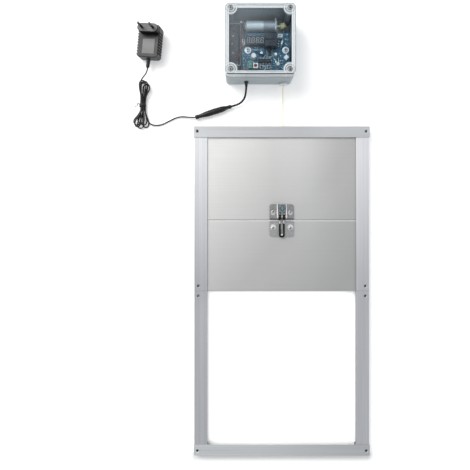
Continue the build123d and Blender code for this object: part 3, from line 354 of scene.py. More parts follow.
# painted reflection: the pins' nickel is darkened to the dark it reflects
M["nickel"] = plated("pin_nickel", (0.13, 0.13, 0.13), 0.30, 0.9)
M["tie"] = plastic("tie_black", (0.012, 0.012, 0.013), 0.45, 1500, 0.15, 0.12)
M["tie_end"] = plastic("tie_grey", (0.16, 0.16, 0.155), 0.45, 1500, 0.15, 0.12)
M["solder"] = plated("solder", (0.72, 0.74, 0.75), 0.22)
M["trace"] = plastic("board_trace", (0.055, 0.22, 0.30), 0.30, 1500, 0.05, 0.12)
M["silk"] = plastic("board_print", (0.62, 0.66, 0.66), 0.5, 1500, 0.05, 0.05)
M["smd"] = plastic("smd_body", (0.10, 0.08, 0.06), 0.40, 2000, 0.08, 0.2)
M["digit_off"] = plastic("digit_face", (0.27, 0.30, 0.32), 0.35, 1200, 0.03, 0.05)
M["washer"] = plated("washer_bright", (0.90, 0.92, 0.93), 0.3, 0.6)

# circuit board: solder mask with the weave of the laminate under it
n = Nodes("board_blue")
wx = n.wave((900, 900, 900), (0, 0, 0), 0.2, "X")
wy = n.wave((900, 900, 900), (0, 0, 0), 0.2, "Y")
weave = n.math("MULTIPLY", wx, wy)
cloud = n.noise((60, 60, 60), 4.0, 0.6, 0.4)
base = n.ramp(cloud, [(0.3, (0.010, 0.045, 0.085)), (0.55, (0.015, 0.072, 0.135)), (0.75, (0.03, 0.10, 0.15))])
M["board"] = n.set(Base_Color=n.mix(n.remap(weave, 0.0, 1.0, 0.0, 0.18), base, (0.05, 0.16, 0.18)), Roughness=n.remap(cloud, 0.3, 0.7, 0.22, 0.36),
                   Normal=n.bump(weave, 0.15, 0.00004))

# leaf sheets: fine rolling lines, a painted highlight on the edge at the seam with a painted shade line just above it,
# a duller band along the lower edge, painted shade growing towards the lower right and a painted highlight over the
# upper middle
n = Nodes("leaf_aluminium")
lines = n.noise((4.5, 1300, 1300), 4.0, 0.6)
fleck = n.noise((1500, 1500, 1500), 2.0, 0.6)
smudge = n.noise((14, 14, 14), 4.0, 0.55, 0.5)
band = n.noise((16, 0.6, 1), 1.0, 0.4)
c = n.ramp(n.math("ADD", n.math("MULTIPLY", lines, 0.7), n.math("MULTIPLY", fleck, 0.3)), [(0.3, (0.625, 0.627, 0.62)), (0.7, (0.69, 0.69, 0.68))])
c = n.mix(n.remap(smudge, 0.4, 0.75, 0.0, 0.12), c, (0.56, 0.56, 0.56))
c = n.mix(n.remap(band, 0.35, 0.65, 0.0, 0.10), c, (0.74, 0.74, 0.735))
x, y, z = n.xyz()
# painted highlight on the lower sheet's top edge at the seam (top) and painted shade just above it (low)
top = n.math("MULTIPLY", n.remap(y, 0.1192, 0.1195, 0.0, 1.0), n.remap(y, 0.1206, 0.1207, 1.0, 0.0))
low = n.math("MULTIPLY", n.remap(y, 0.1208, 0.1209, 0.0, 1.0), n.remap(y, 0.1222, 0.1228, 1.0, 0.0))
foot = n.remap(y, 0.0012, 0.0022, 1.0, 0.0)
# painted shade: darker towards the lower right
painted_shade_slope = n.math("ADD", x, n.math("MULTIPLY", n.math("SUBTRACT", 0.135, y), 0.8))
c = n.mix(n.remap(painted_shade_slope, 0.07, 0.20, 0.0, 0.6), c, (0.48, 0.48, 0.485))
c = n.mix(n.remap(painted_shade_slope, -0.19, 0.03, 0.0, 1.0), c, (0.68, 0.68, 0.685), "MULTIPLY")
# painted highlight: lighter over the upper middle-right of the leaf, the rest lifted slightly
painted_highlight_patch = n.math("MULTIPLY", n.math("MULTIPLY", n.remap(x, -0.015, 0.030, 0.0, 1.0), n.remap(x, 0.050, 0.095, 1.0, 0.0)), n.remap(y, 0.07, 0.16, 0.25, 1.0))
c = n.mix(painted_highlight_patch, n.mix(1.0, c, (1.045, 1.045, 1.04), "MULTIPLY"), n.mix(1.0, c, (1.18, 1.18, 1.18), "MULTIPLY"))
c = n.mix(n.math("MULTIPLY", top, 0.8), c, (0.97, 0.97, 0.95))
c = n.mix(n.math("MULTIPLY", low, 0.55), c, (0.30, 0.30, 0.30))
c = n.mix(n.math("MULTIPLY", foot, 0.45), c, (0.36, 0.36, 0.36))
M["leaf"] = n.set(Base_Color=c, Roughness=n.remap(smudge, 0.3, 0.7, 0.48, 0.57), Metallic=0.45, Normal=n.bump(lines, 0.10, 0.00003))

# control box: fine-grained plastic, with a painted shadow line along the base's rim just under the cover
n = Nodes("box_plastic")
grain = n.noise((1500, 1500, 1500), 3.0, 0.6)
drift = n.noise((26, 26, 26), 4.0, 0.6, 0.4)
c = n.ramp(drift, [(0.3, (0.30, 0.35, 0.375)), (0.7, (0.355, 0.405, 0.43))])
c = n.mix(n.remap(grain, 0.55, 0.7, 0.0, 0.22), c, (0.52, 0.56, 0.58))
x, y, z = n.xyz()
# painted shadow: a dark broken line round the base just under the cover
painted_seam_shadow = n.math("MULTIPLY", n.remap(z, 0.0424, 0.0428, 0.0, 1.0), n.remap(n.noise((90, 90, 4)), 0.3, 0.5, 0.5, 0.9))
c = n.mix(painted_seam_shadow, c, (0.05, 0.055, 0.06))
M["box"] = n.set(Base_Color=c, Roughness=n.remap(drift, 0.3, 0.7, 0.40, 0.54), Normal=n.bump(grain, 0.2, 0.00006))

# latch plates: satin steel, with painted highlights round the screws, painted shade bands below the lever's end and
# along the lower plate's top edge, and the lower plate a little lighter
n = Nodes("latch_plate_steel")
x, y, z = n.xyz()
grit = n.noise((420, 420, 420), 4.0, 0.65, 0.5)
fine = n.noise((2200, 2200, 2200), 3.0, 0.6)
sx = n.math("SUBTRACT", n.math("ABSOLUTE", x), 0.0148)
ya, yb2 = n.math("SUBTRACT", y, 0.1336), n.math("SUBTRACT", y, 0.1090)
ra = n.math("SQRT", n.math("ADD", n.math("MULTIPLY", sx, sx), n.math("MULTIPLY", ya, ya)))
rb = n.math("SQRT", n.math("ADD", n.math("MULTIPLY", sx, sx), n.math("MULTIPLY", yb2, yb2)))
# painted highlights round the screws
painted_screw_highlight = n.math("MAXIMUM", n.remap(ra, 0.0030, 0.0044, 0.75, 0.0), n.remap(rb, 0.0036, 0.0056, 1.0, 0.0))
c = n.ramp(n.math("ADD", n.math("MULTIPLY", grit, 0.6), n.math("MULTIPLY", fine, 0.4)), [(0.3, (0.25, 0.25, 0.255)), (0.7, (0.47, 0.47, 0.47))])
c = n.mix(n.remap(y, 0.1195, 0.1205, 0.30, 0.0), c, (0.70, 0.70, 0.705))
c = n.mix(painted_screw_highlight, c, (0.95, 0.95, 0.95))
# painted shade: a dark band on the upper plate below the lever's end
c = n.mix(n.math("MULTIPLY", n.remap(y, 0.1212, 0.1216, 0.0, 1.0), n.remap(y, 0.1236, 0.1244, 0.75, 0.0)), c, (0.10, 0.10, 0.105))
# painted shade: a dark band along the lower plate's top edge
c = n.mix(n.math("MULTIPLY", n.remap(y, 0.1172, 0.1176, 0.0, 1.0), n.remap(y, 0.1192, 0.1194, 0.55, 0.0)), c, (0.16, 0.16, 0.165))
M["latch_plate"] = n.set(Base_Color=c, Roughness=n.remap(grit, 0.3, 0.7, 0.26, 0.40), Metallic=0.85, Normal=n.bump(grit, 0.25, 0.0001))

# latch lever: bright plating with a painted blue reflection ringed with painted dark, and painted glints along the
# slots and the lower end
n = Nodes("lever_steel")
smudge = n.noise((150, 150, 150), 4.0, 0.6, 0.6)
x, y, z = n.xyz()
px = n.math("DIVIDE", n.math("SUBTRACT", x, 0.0004), 0.0019)
py = n.math("DIVIDE", n.math("SUBTRACT", y, 0.1412), 0.0036)
painted_reflection_spot = n.math("ADD", n.math("ADD", n.math("MULTIPLY", px, px), n.math("MULTIPLY", py, py)), n.remap(smudge, 0.2, 0.8, -0.5, 0.5))
mott = n.noise((520, 520, 520), 4.0, 0.7, 0.6, loc=(2, 4, 6))
c = n.ramp(n.math("ADD", n.math("MULTIPLY", smudge, 0.4), n.math("MULTIPLY", mott, 0.6)), [(0.32, (0.17, 0.165, 0.155)), (0.5, (0.36, 0.36, 0.355)), (0.68, (0.56, 0.56, 0.56))])
# painted reflection: a blue patch with a dark ring round it
c = n.mix(n.remap(painted_reflection_spot, 1.3, 3.0, 0.75, 0.0), c, (0.06, 0.09, 0.11))
c = n.mix(n.remap(painted_reflection_spot, 0.6, 1.3, 0.95, 0.0), c, (0.22, 0.52, 0.76))
# painted glints along the slot edges and a painted highlight along the lever's lower end
axl = n.math("ABSOLUTE", x)
lowp = n.remap(y, 0.1349, 0.1352, 1.0, 0.0)
e1 = n.math("MULTIPLY", n.remap(axl, 0.0007, 0.0009, 0.0, 1.0), n.remap(axl, 0.0015, 0.0016, 1.0, 0.0))
e2 = n.math("MULTIPLY", n.remap(axl, 0.0051, 0.0053, 0.0, 1.0), n.remap(axl, 0.0059, 0.0061, 1.0, 0.0))
e3 = n.math("MULTIPLY", n.math("MULTIPLY", n.remap(y, 0.1346, 0.1348, 0.0, 1.0), n.remap(y, 0.1353, 0.1356, 1.0, 0.0)),
            n.math("MULTIPLY", n.remap(axl, 0.0007, 0.0009, 0.0, 1.0), n.remap(axl, 0.0059, 0.0061, 1.0, 0.0)))
e4 = n.math("MULTIPLY", n.remap(y, 0.1264, 0.1268, 0.0, 1.0), n.remap(y, 0.1278, 0.1282, 1.0, 0.0))
faint = n.math("MAXIMUM", n.math("MAXIMUM", n.math("MULTIPLY", e1, lowp), n.math("MULTIPLY", e2, lowp)), e3)
glint = n.math("MAXIMUM", n.math("MULTIPLY", faint, 0.22), e4)
c = n.mix(n.math("MULTIPLY", glint, n.remap(z, 0.0146, 0.0150, 0.0, 0.95)), c, (1.0, 1.0, 0.99))
M["lever"] = n.set(Base_Color=c, Roughness=n.remap(smudge, 0.3, 0.75, 0.14, 0.30), Metallic=1.0, Normal=n.bump(smudge, 0.2, 0.0002))

# wire bail: black coat, with bands of bare metal painted as highlights where it turns in the lever and where it crosses
# the seam
n = Nodes("bail_wire")
x, y, z = n.xyz()
wob = n.noise((900, 900, 900), 3.0, 0.6)
yy = n.math("ADD", y, n.remap(wob, 0.3, 0.7, -0.0009, 0.0009))
# painted highlights: the black coat gives way to bright metal in these bands
rub = n.math("MAXIMUM", n.math("MULTIPLY", n.remap(yy, 0.1146, 0.1152, 0.0, 1.0), n.remap(yy, 0.1198, 0.1206, 1.0, 0.0)), n.math("MULTIPLY", n.remap(yy, 0.1301, 0.1306, 0.0, 1.0), 0.8))
grime = n.noise((700, 700, 700), 4.0, 0.7, 0.5, loc=(5, 1, 2))
metal = n.ramp(grime, [(0.35, (0.34, 0.34, 0.34)), (0.55, (0.58, 0.58, 0.575)), (0.7, (0.74, 0.74, 0.73))])
coat = n.ramp(grime, [(0.3, (0.0035, 0.0035, 0.004)), (0.7, (0.006, 0.006, 0.0065))])
M["bail_wire"] = n.set(Base_Color=n.mix(rub, coat, metal), Roughness=n.remap(grime, 0.3, 0.7, 0.40, 0.55), Metallic=n.math("MULTIPLY", rub, 0.6),
                       Specular_IOR_Level=0.16, Normal=n.bump(grime, 0.12, 0.00004))

# clear cover: see-through window, with the moulded rim and corner rings milky, bright milky lines as painted
# highlights, dark lines as painted shade, and a painted reflection growing towards the upper left
BXC, BYC = -39.0 * MM, 411.7 * MM
n = Nodes("clear_cover")
x, y, z = n.xyz()
ax = n.math("ABSOLUTE", n.math("SUBTRACT", x, BXC))
ay = n.math("ABSOLUTE", n.math("SUBTRACT", y, BYC))
edge_x, edge_y = n.math("SUBTRACT", 0.0573, ax), n.math("SUBTRACT", 0.0574, ay)
edge = n.math("MINIMUM", edge_x, edge_y)
# the moulded step inside the rim is wider along the top
inner = n.math("MINIMUM", edge_x, n.math("SUBTRACT", edge_y, n.remap(y, BYC, BYC + 0.001, -0.0012, 0.0016)))
rim = n.remap(inner, 0.0062, 0.0068, 1.0, 0.0)
# painted highlights: line1 and line2 are bright milky lines along the rim's steps, ringa and ringb bright rings round
# the corner bosses
line1 = n.math("MULTIPLY", n.remap(inner, 0.0050, 0.0054, 0.0, 1.0), n.remap(inner, 0.0064, 0.0068, 1.0, 0.0))
high = n.remap(z, 0.0572, 0.0576, 0.0, 1.0)
# painted shade: dark lines along the top's edges
dark = n.math("MULTIPLY", n.remap(n.math("MINIMUM", edge_y, n.math("ADD", edge_x, 0.0007)), 0.0010, 0.0018, 1.0, 0.0), high)
# painted shade: a broken dark band along the top
shade_band_y = n.math("ADD", edge_y, n.remap(n.noise((60, 300, 60)), 0.3, 0.7, -0.0003, 0.0003))
painted_shade_band = n.math("MULTIPLY", n.remap(shade_band_y, 0.0034, 0.0038, 0.0, 1.0), n.remap(shade_band_y, 0.0044, 0.0049, 1.0, 0.0))
painted_shade_band = n.math("MULTIPLY", n.math("MULTIPLY", painted_shade_band, n.remap(ax, 0.037, 0.042, 1.0, 0.0)), n.math("MULTIPLY", high, 0.75))
dark = n.math("MAXIMUM", dark, painted_shade_band)
line2 = n.math("MULTIPLY", n.remap(edge, 0.0016, 0.0022, 0.0, 1.0), n.remap(edge, 0.0030, 0.0036, 1.0, 0.0))
qx, qy = n.math("SUBTRACT", ax, 0.048), n.math("SUBTRACT", ay, 0.0496)
rad = n.math("SQRT", n.math("ADD", n.math("MULTIPLY", qx, qx), n.math("MULTIPLY", qy, qy)))
disc = n.remap(rad, 0.0100, 0.0108, 1.0, 0.0)
ringa = n.math("MULTIPLY", n.remap(rad, 0.0088, 0.0092, 0.0, 1.0), n.remap(rad, 0.0102, 0.0108, 1.0, 0.0))
ringb = n.math("MULTIPLY", n.remap(rad, 0.0052, 0.0058, 0.0, 1.0), n.remap(rad, 0.0062, 0.0068, 1.0, 0.0))
# painted shade: ringd and ringe are dark rings round the corner bosses
ringd = n.math("MULTIPLY", n.remap(rad, 0.0068, 0.0070, 0.0, 1.0), n.remap(rad, 0.0076, 0.0080, 1.0, 0.0))
ringe = n.math("MULTIPLY", n.remap(rad, 0.0105, 0.0107, 0.0, 1.0), n.remap(rad, 0.0112, 0.0115, 1.0, 0.0))
ringe = n.math("MULTIPLY", ringe, n.remap(inner, 0.0050, 0.0060, 0.3, 1.0))
dark = n.math("MAXIMUM", dark, n.math("MULTIPLY", n.math("MAXIMUM", ringd, ringe), n.math("MULTIPLY", high, 0.55)))
haze = n.noise((240, 240, 240), 4.0, 0.7, 0.5)
# painted reflection: the cover grows milkier towards the upper left
film = n.remap(n.math("ADD", n.math("SUBTRACT", BXC, x), n.math("MULTIPLY", n.math("SUBTRACT", y, BYC), 0.6)), -0.02, 0.05, 0.0, 0.065)
milk = n.math("MAXIMUM", n.math("MULTIPLY", rim, 0.60), n.math("MULTIPLY", disc, 0.30))
for v, k in ((line1, 0.84), (line2, 0.80), (ringa, 0.72), (ringb, 0.66), (dark, 0.85), (film, 1.0)):
    milk = n.math("MAXIMUM", milk, n.math("MULTIPLY", v, k))
milk = n.math("ADD", milk, n.remap(haze, 0.45, 0.8, 0.0, 0.02), clamp=True)
n.set(Base_Color=n.mix(dark, n.ramp(haze, [(0.3, (0.76, 0.81, 0.84)), (0.7, (0.88, 0.92, 0.94))]), (0.10, 0.125, 0.135)), Roughness=n.remap(haze, 0.3, 0.7, 0.10, 0.22),
      Normal=n.bump(haze, 0.08, 0.00006))
clear = n.nt.nodes.new("ShaderNodeBsdfTransparent")
clear.inputs["Color"].default_value = (0.935, 0.975, 1.0, 1.0)
gloss = n.nt.nodes.new("ShaderNodeBsdfGlossy")
gloss.inputs["Roughness"].default_value = 0.06
gloss.inputs["Color"].default_value = (0.95, 0.97, 1.0, 1.0)
fres = n.nt.nodes.new("ShaderNodeFresnel")
fres.inputs["IOR"].default_value = 1.16
window = n.nt.nodes.new("ShaderNodeMixShader")
n.link(fres.outputs[0], window.inputs[0])
n.link(clear.outputs[0], window.inputs[1])
n.link(gloss.outputs[0], window.inputs[2])
whole = n.nt.nodes.new("ShaderNodeMixShader")
n.link(milk, whole.inputs[0])
n.link(window.outputs[0], whole.inputs[1])
n.link(n.b.outputs[0], whole.inputs[2])
n.link(whole.outputs[0], n.out.inputs[0])
M["cover"] = n.m


def give(names, mat):
    for name in ([names] if isinstance(names, str) else names):
        me = N[name].data
        me.materials.clear()
        me.materials.append(M[mat])


def paint(name, mats, rule):
    """Several materials on one node: rule(centre in mm, normal) gives the index."""
    me = N[name].data
    me.materials.clear()
    for k in mats:
        me.materials.append(M[k])
    for p in me.polygons:
        p.material_index = rule(p.center / MM, p.normal)


give(["top_bar", "bottom_bar"], "bar")
give(["channel_left_upper", "channel_left_lower", "channel_right_upper", "channel_right_lower"], "channel")
give("channel_splices", "splice")
give(["leaf_upper", "leaf_lower"], "leaf")
# painted highlights on the base's raised rails and the keeper's raised middle
paint("latch_base", ["latch_plate", "rail"], lambda c, q: 1 if c.z > 10.4 and 6.9 < abs(c.x) < 8.5 else 0)
paint("latch_keeper", ["latch_plate", "rail"], lambda c, q: 1 if c.z > 10.6 and abs(c.x) < 4 else 0)
give("latch_lever", "lever")
give("latch_bail", "bail_wire")
give("latch_pivot_rivets", "rivet")


def recessed(centres, zlo, zhi, rmax, more=None):
    """Index 1 inside a screw's cross recess, 2 on its washer, 0 elsewhere."""
    def rule(c, q):
        for px, py in centres:
            d = math.hypot(c.x - px, c.y - py)
            if d < rmax and zlo <= c.z <= zhi and (abs(q.z) < 0.5 or c.z < zlo + (zhi - zlo) * 0.55):
                return 1
            if more and d < 6.0 and c.z < more:
                return 2
        return 0
    return rule


CORNERS = [(-39.0 + sx * 48.0, 411.7 + sy * 49.6) for sx in (-1, 1) for sy in (-1, 1)]
# painted shade in the screws' cross recesses
paint("cover_screws", ["screw_dull", "recess"], recessed(CORNERS, 57.9, 59.3, 2.05))
paint("latch_screws", ["screw", "recess"], recessed([(sx * 14.8, y) for sx in (-1, 1) for y in (135.0, 107.4)], 11.0, 12.1, 1.6))
paint("inner_screws", ["screw", "recess", "washer"], recessed([(-58.5, 402.0), (4.0, 402.0)], 35.6, 36.8, 1.95, 34.72))
give("box_base", "box")
give("box_cover", "cover")
give("cover_seal", "seal")
give("cord_bushing", "bushing")
give("cable_grommet", "grommet")
give("motor_can", "motor")
give("gearbox_housing", "gearbox")
give("motor_bracket", "bracket")
give("output_shaft", "bracket")
give("cord_spool", "brass")
give("circuit_board", "board")
give("display", "display")
give("relays", "relay")
give("board_connectors", "white")
give("terminal_block", "green")
give("trimmer_bodies", "trim_white")
give("trimmer_rotor_large", "trim_red")
give("trimmer_rotor_small", "trim_white")
give("button_housings", "bright")
give(["button_left", "button_right"], "button")
give("battery_holder", "holder")
give("battery_contacts", "solder")
give(["dc_socket", "dc_plug"], "dc")
give("adapter_strain_relief", "relief")
paint("motor_end_cap", ["white", "pin_tin"], lambda c, q: 1 if c.x < -63.5 else 0)
paint("integrated_circuits", ["chip", "pin_tin"],
      lambda c, q: 1 if ((c.x < -30 or c.x > -26 or c.y < 392) and (c.y < 380.3 or c.y > 386.9) and c.y < 392) or (c.y > 392 and (c.x < -25.1 or c.x > -19.7)) else 0)
paint("light_sensor", ["sensor", "pin_tin", "sensor_slot"],
      lambda c, q: 1 if c.z < 41.8 or c.y > 378.8 else (2 if c.z < 43.95 and c.z > 43.5 and abs(q.z) > 0.5 and abs(c.y - 376.0) < 1.0 else 0))


def passive(c, q):
    if abs(c.x + 49.2) < 4.2 and abs(c.y - 389.6) < 4.2:
        return 0                        # white can
    if abs(c.x + 36.0) < 2.7 and abs(c.y - 395.5) < 2.7:
        return 2 if c.z > 40.4 and q.z > 0.6 else 1
    if -15 < c.x < -10 and 391 < c.y < 396:
        return 3
    if c.x > -6:
        return 4 if abs(c.z - 38.4) > 0.36 or math.hypot(c.x + 2.2, c.y - 412.8) < 3.4 and c.z > 37.5 else 6
    if abs(c.y - 401.0) > 0.32 or abs(c.z - 36.6) > 0.32:
        return 5 if -48.3 < c.x < -41.9 and c.z > 35.3 else 6
    return 6


paint("passive_components", ["cap_white", "cap_blue", "cap_top", "film", "diode", "resistor", "pin_tin"], passive)
give("battery_cell", "cell")


# --------------------------------------------------------------- mesh helpers
def obj(name, bm, mat, smooth=True, body="root", mats=None):
    me = bpy.data.meshes.new(name)
    bm.to_mesh(me)
    bm.free()
    for k in (mats or [mat]):
        me.materials.append(M[k])
    for p in me.polygons:
        p.use_smooth = smooth
    o = bpy.data.objects.new(name, me)
    COL.objects.link(o)
    if body:
        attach(o, body)
    return o


def add_box(bm, x0, x1, y0, y1, z0, z1, bevel=0.0, rot=0.0, index=0, taper=0.0):
    """A block with rounded edges, in mm."""
    cx, cy = (x0 + x1) / 2, (y0 + y1) / 2
    hx, hy = (x1 - x0) / 2, (y1 - y0) / 2
    vs = []
    for sz, z in ((0, z0), (1, z1)):
        for sx, sy in ((-1, -1), (1, -1), (1, 1), (-1, 1)):
            px, py = sx * (hx - taper * sz), sy * (hy - taper * sz)
            c, s = math.cos(rot), math.sin(rot)
            vs.append(bm.verts.new(mm(cx + px * c - py * s, cy + px * s + py * c, z)))
    fs = [bm.faces.new(f) for f in ((vs[3], vs[2], vs[1], vs[0]), (vs[4], vs[5], vs[6], vs[7]), (vs[0], vs[1], vs[5], vs[4]),
                                    (vs[1], vs[2], vs[6], vs[5]), (vs[2], vs[3], vs[7], vs[6]), (vs[3], vs[0], vs[4], vs[7]))]
    if bevel:
        es = list({e for f in fs for e in f.edges})
        r = bmesh.ops.bevel(bm, geom=es, offset=bevel * MM, segments=2, profile=0.6, affect="EDGES", clamp_overlap=True)
        fs = [f for f in r["faces"]] + [f for f in fs if f.is_valid]
    for f in fs:
        if f.is_valid:
            f.material_index = index
    return fs


def add_turned(bm, origin, axis, profile, seg=24, index=0):
    """A turned shape: (distance, radius) pairs along the axis, in mm, closed at both ends."""
    a = Vector(axis).normalized()
    u = a.orthogonal().normalized()
    v = a.cross(u)
    rings = []
    for d, r in profile:
        rings.append([bm.verts.new((Vector(origin) + a * d + (u * math.cos(t) + v * math.sin(t)) * r) * MM)
                      for t in (2 * math.pi * i / seg for i in range(seg))])
    for p, q in zip(rings, rings[1:]):
        for i in range(seg):
            f = bm.faces.new((p[i], p[(i + 1) % seg], q[(i + 1) % seg], q[i]))
            f.material_index = index
    for ring, flip in ((rings[0], True), (rings[-1], False)):
        f = bm.faces.new(list(reversed(ring)) if flip else ring)
        f.material_index = index


def nurbs(name, pts, d, mat, body="root", ring=6, steps=8):
    cu = bpy.data.curves.new(name, "CURVE")
    cu.dimensions = "3D"
    sp = cu.splines.new("NURBS")
    sp.points.add(len(pts) - 1)
    for p, q in zip(sp.points, pts):
        p.co = (q[0] * MM, q[1] * MM, q[2] * MM, 1.0)
    sp.order_u = 3
    sp.use_endpoint_u = True
    sp.resolution_u = steps
    cu.bevel_depth = d * MM / 2
    cu.bevel_resolution = ring
    cu.use_fill_caps = True
    o = bpy.data.objects.new(name, cu)
    COL.objects.link(o)
    if mat:
        cu.materials.append(M[mat])
    if body:
        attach(o, body)
    return o


def line_of(pts, steps=8):
    """The points of the route's own NURBS spline, in metres."""
    cu = bpy.data.curves.new("line", "CURVE")
    cu.dimensions = "3D"
    sp = cu.splines.new("NURBS")
    sp.points.add(len(pts) - 1)
    for p, q in zip(sp.points, pts):
        p.co = (q[0] * MM, q[1] * MM, q[2] * MM, 1.0)
    sp.order_u = 3
    sp.use_endpoint_u = True
    sp.resolution_u = steps
    o = bpy.data.objects.new("line", cu)
    COL.objects.link(o)
    bpy.context.view_layer.update()
    me = bpy.data.meshes.new_from_object(o)
    out = [v.co.copy() for v in me.vertices]
    bpy.data.meshes.remove(me)
    bpy.data.objects.remove(o)
    bpy.data.curves.remove(cu)
    return out


def length_of(line):
    return sum((b - a).length for a, b in zip(line, line[1:]))


# ------------------------------------------------------------------- the cords
PIGTAIL = [(-60.7, 346.6, 18.0), (-61.3, 333.4, 15.0), (-66.2, 324.6, 9.6), (-74.8, 319.2, 6.0), (-86.3, 316.5, 5.2)]
pigtail = nurbs("pigtail_lead", PIGTAIL, 3.4, "lead", steps=16)
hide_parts("pigtail_cord")
length_of(line_of(PIGTAIL))

# the mains adapter's lead: from the DC plug along the table, up and down
# through the hank, then to the adapter's strain relief
LEAD_D = 2.2
LEAD_A = [(-147.8, 297.4, 5.2), (-158.6, 297.9, 3.6), (-169.4, 299.8, 2.0), (-180.4, 298.4, 1.5), (-193.6, 291.9, 1.4),
          (-205.6, 285.6, 1.5), (-216.4, 284.2, 1.9), (-224.2, 285.4, 3.4)]
# the waist: four rows of strands, packed
WX = [-241.6, -239.3, -237.0, -234.7]
WY = [-240.5, -238.15, -235.8]
SLOT = [(WX[3], 1.2), (WX[0], 1.2), (WX[2], 1.2), (WX[1], 1.2), (WY[2], 3.2), (WY[0], 3.2), (WY[1], 3.2), (WX[0], 5.2), (WX[3], 5.2),
        (WX[1], 5.2), (WX[2], 5.2), (-239.3, 7.2), (-237.0, 7.2)]
# loops: left edge, right edge, outermost Y, height
TOP = [(-243.6, -230.8, 357.6, 1.3), (-238.2, -227.0, 354.6, 3.4), (-244.2, -233.2, 360.8, 5.5), (-240.6, -229.4, 358.6, 7.6),
       (-235.8, -225.9, 353.6, 9.4), (-242.4, -232.2, 356.2, 11.2)]
LOW = [(-254.4, -243.2, 285.4, 1.2), (-238.6, -228.6, 281.2, 1.3), (-247.4, -237.2, 279.4, 3.4), (-241.8, -231.4, 284.6, 5.4),
       (-251.8, -242.4, 281.6, 5.2), (-246.4, -235.6, 287.4, 7.4)]


def side(x, y, z, k):
    """The two control points where a strand joins a loop: k is 1 at the top, -1 at the bottom."""
    return (x, y - k * 9.5, z), (x, y - k * 4.0, z)


def hank_route():
    pts = list(LEAD_A)
    runs = len(SLOT)
    for i in range(runs):
        up = i % 2 == 0
        wx, wz = SLOT[i]
        # which side of its two loops this strand takes
        if up:
            low = None if i == 0 else LOW[(i - 1) // 2]
            top = TOP[i // 2] if i // 2 < len(TOP) else None
        else:
            low = LOW[i // 2] if i // 2 < len(LOW) else None
            top = TOP[i // 2]
        lo_left = low is not None and ((i % 2 == 1) == ((i // 2) % 2 == 0) if not up else (((i - 1) // 2) % 2 == 1))
        if low is not None:
            k = (i - 1) // 2
            pair = (SLOT[2 * k + 1][0], SLOT[2 * k + 2][0])
            lo_left = wx == min(pair)
        if top is not None:
            k = i // 2
            pair = (SLOT[2 * k][0], SLOT[2 * k + 1][0])
            hi_left = wx == min(pair)
        a = []                                          # from the bottom to the top
        if low is not None:
            x = low[0] if lo_left else low[1]
            w = (low[1] - low[0]) * 0.24
            s1, s2 = side(x, low[2], low[3], -1)
            a += [(x + (w if lo_left else -w), low[2], low[3]), s2, s1, ((x + wx * 1.6) / 2.6, 303.0, (low[3] + wz * 1.6) / 2.6)]
        else:
            a += [(-230.6, 291.6, 4.4), (-233.6, 302.6, 3.2)]
        a += [(wx, 313.0, wz), (wx, 325.0, wz)]
        if top is not None:
            x = top[0] if hi_left else top[1]
            w = (top[1] - top[0]) * 0.24
            s1, s2 = side(x, top[2], top[3], 1)
            a += [((x + wx * 1.3) / 2.3, 337.5, (top[3] + wz * 1.3) / 2.3), s1, s2, (x + (w if hi_left else -w), top[2], top[3])]
        else:
            a += [(-240.4, 338.0, 9.6), (-242.0, 350.0, 13.2), (-239.6, 360.4, 12.6)]
        pts += a if up else a[::-1]
    return pts


LEAD = hank_route() + [(-234.4, 366.8, 12.2), (-229.6, 373.2, 13.6), (-228.26, 380.05, 14.08)]
lead = nurbs("adapter_lead", LEAD, LEAD_D, "lead", steps=6)
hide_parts("lead_plug_side", "lead_hank", "lead_adapter_side")
lead_len = length_of(line_of(LEAD))
print("LEAD LENGTH", round(lead_len, 4), "points", len(LEAD))

# pull cord: a tube that follows its route, with rings set close where the leaf
# stretches it
PULL = [(2.3, 447.0, 15.99), (2.3, 354.0, 9.0), (2.3, 282.0, 5.4), (2.3, 268.2, 5.4)]
pull_line = line_of(PULL, 24)


def tube_mesh(name, line, d, mat, seg=14, body=None):
    bm = bmesh.new()
    rings = []
    for i, p in enumerate(line):
        t = (line[min(i + 1, len(line) - 1)] - line[max(i - 1, 0)]).normalized()
        u = Vector((1, 0, 0)) - t * t.x
        u.normalize()
        v = t.cross(u)
        rings.append([bm.verts.new(p + (u * math.cos(a) + v * math.sin(a)) * d * MM / 2)
                      for a in (2 * math.pi * k / seg for k in range(seg))])
    for p, q in zip(rings, rings[1:]):
        for k in range(seg):
            bm.faces.new((p[k], p[(k + 1) % seg], q[(k + 1) % seg], q[k]))
    bm.faces.new(list(reversed(rings[0])))
    bm.faces.new(rings[-1])
    return obj(name, bm, mat, True, body)


fine = []
for a, b in zip(pull_line, pull_line[1:]):
    k = max(1, int((b - a).length / (0.00025 if b.y < 0.2835 else 0.002)))
    fine += [a.lerp(b, i / k) for i in range(k)]
fine.append(pull_line[-1])
pull = tube_mesh("pull_cord_braid", fine, 1.5, "cord")
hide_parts("pull_cord")
length_of(pull_line)
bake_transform(pull)

# the cord's turns on the spool
turns = []
for layer, r in enumerate((3.5, 4.6)):
    per = 4
    for k in range(per * 14 + 1):
        a = 2 * math.pi * k / 14
        f = k / (per * 14)
        xx = -2.9 + 5.8 * (f if layer == 0 else 1 - f)
        turns.append((xx, 447.0 + r * 1.03 * math.sin(a), 22.0 + r * 1.03 * math.cos(a)))
wound = nurbs("wound_cord_turns", turns, 1.4, "cord", "spool", 5, 4)
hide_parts("wound_cord")

# the knot under the leaf's tab
kn = []
for k in range(49):
    t = 2 * math.pi * k / 48
    kn.append((2.3 + 0.62 * (math.sin(t) + 1.6 * math.sin(2 * t)) * 0.5, 266.2 + 0.95 * (math.cos(t) - 1.6 * math.cos(2 * t)) * 0.5,
               5.4 - 0.8 * math.sin(3 * t) * 0.6))
knot = nurbs("cord_knot_turns", kn, 1.3, "cord", "leaf", 4, 4)
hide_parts("cord_knot")

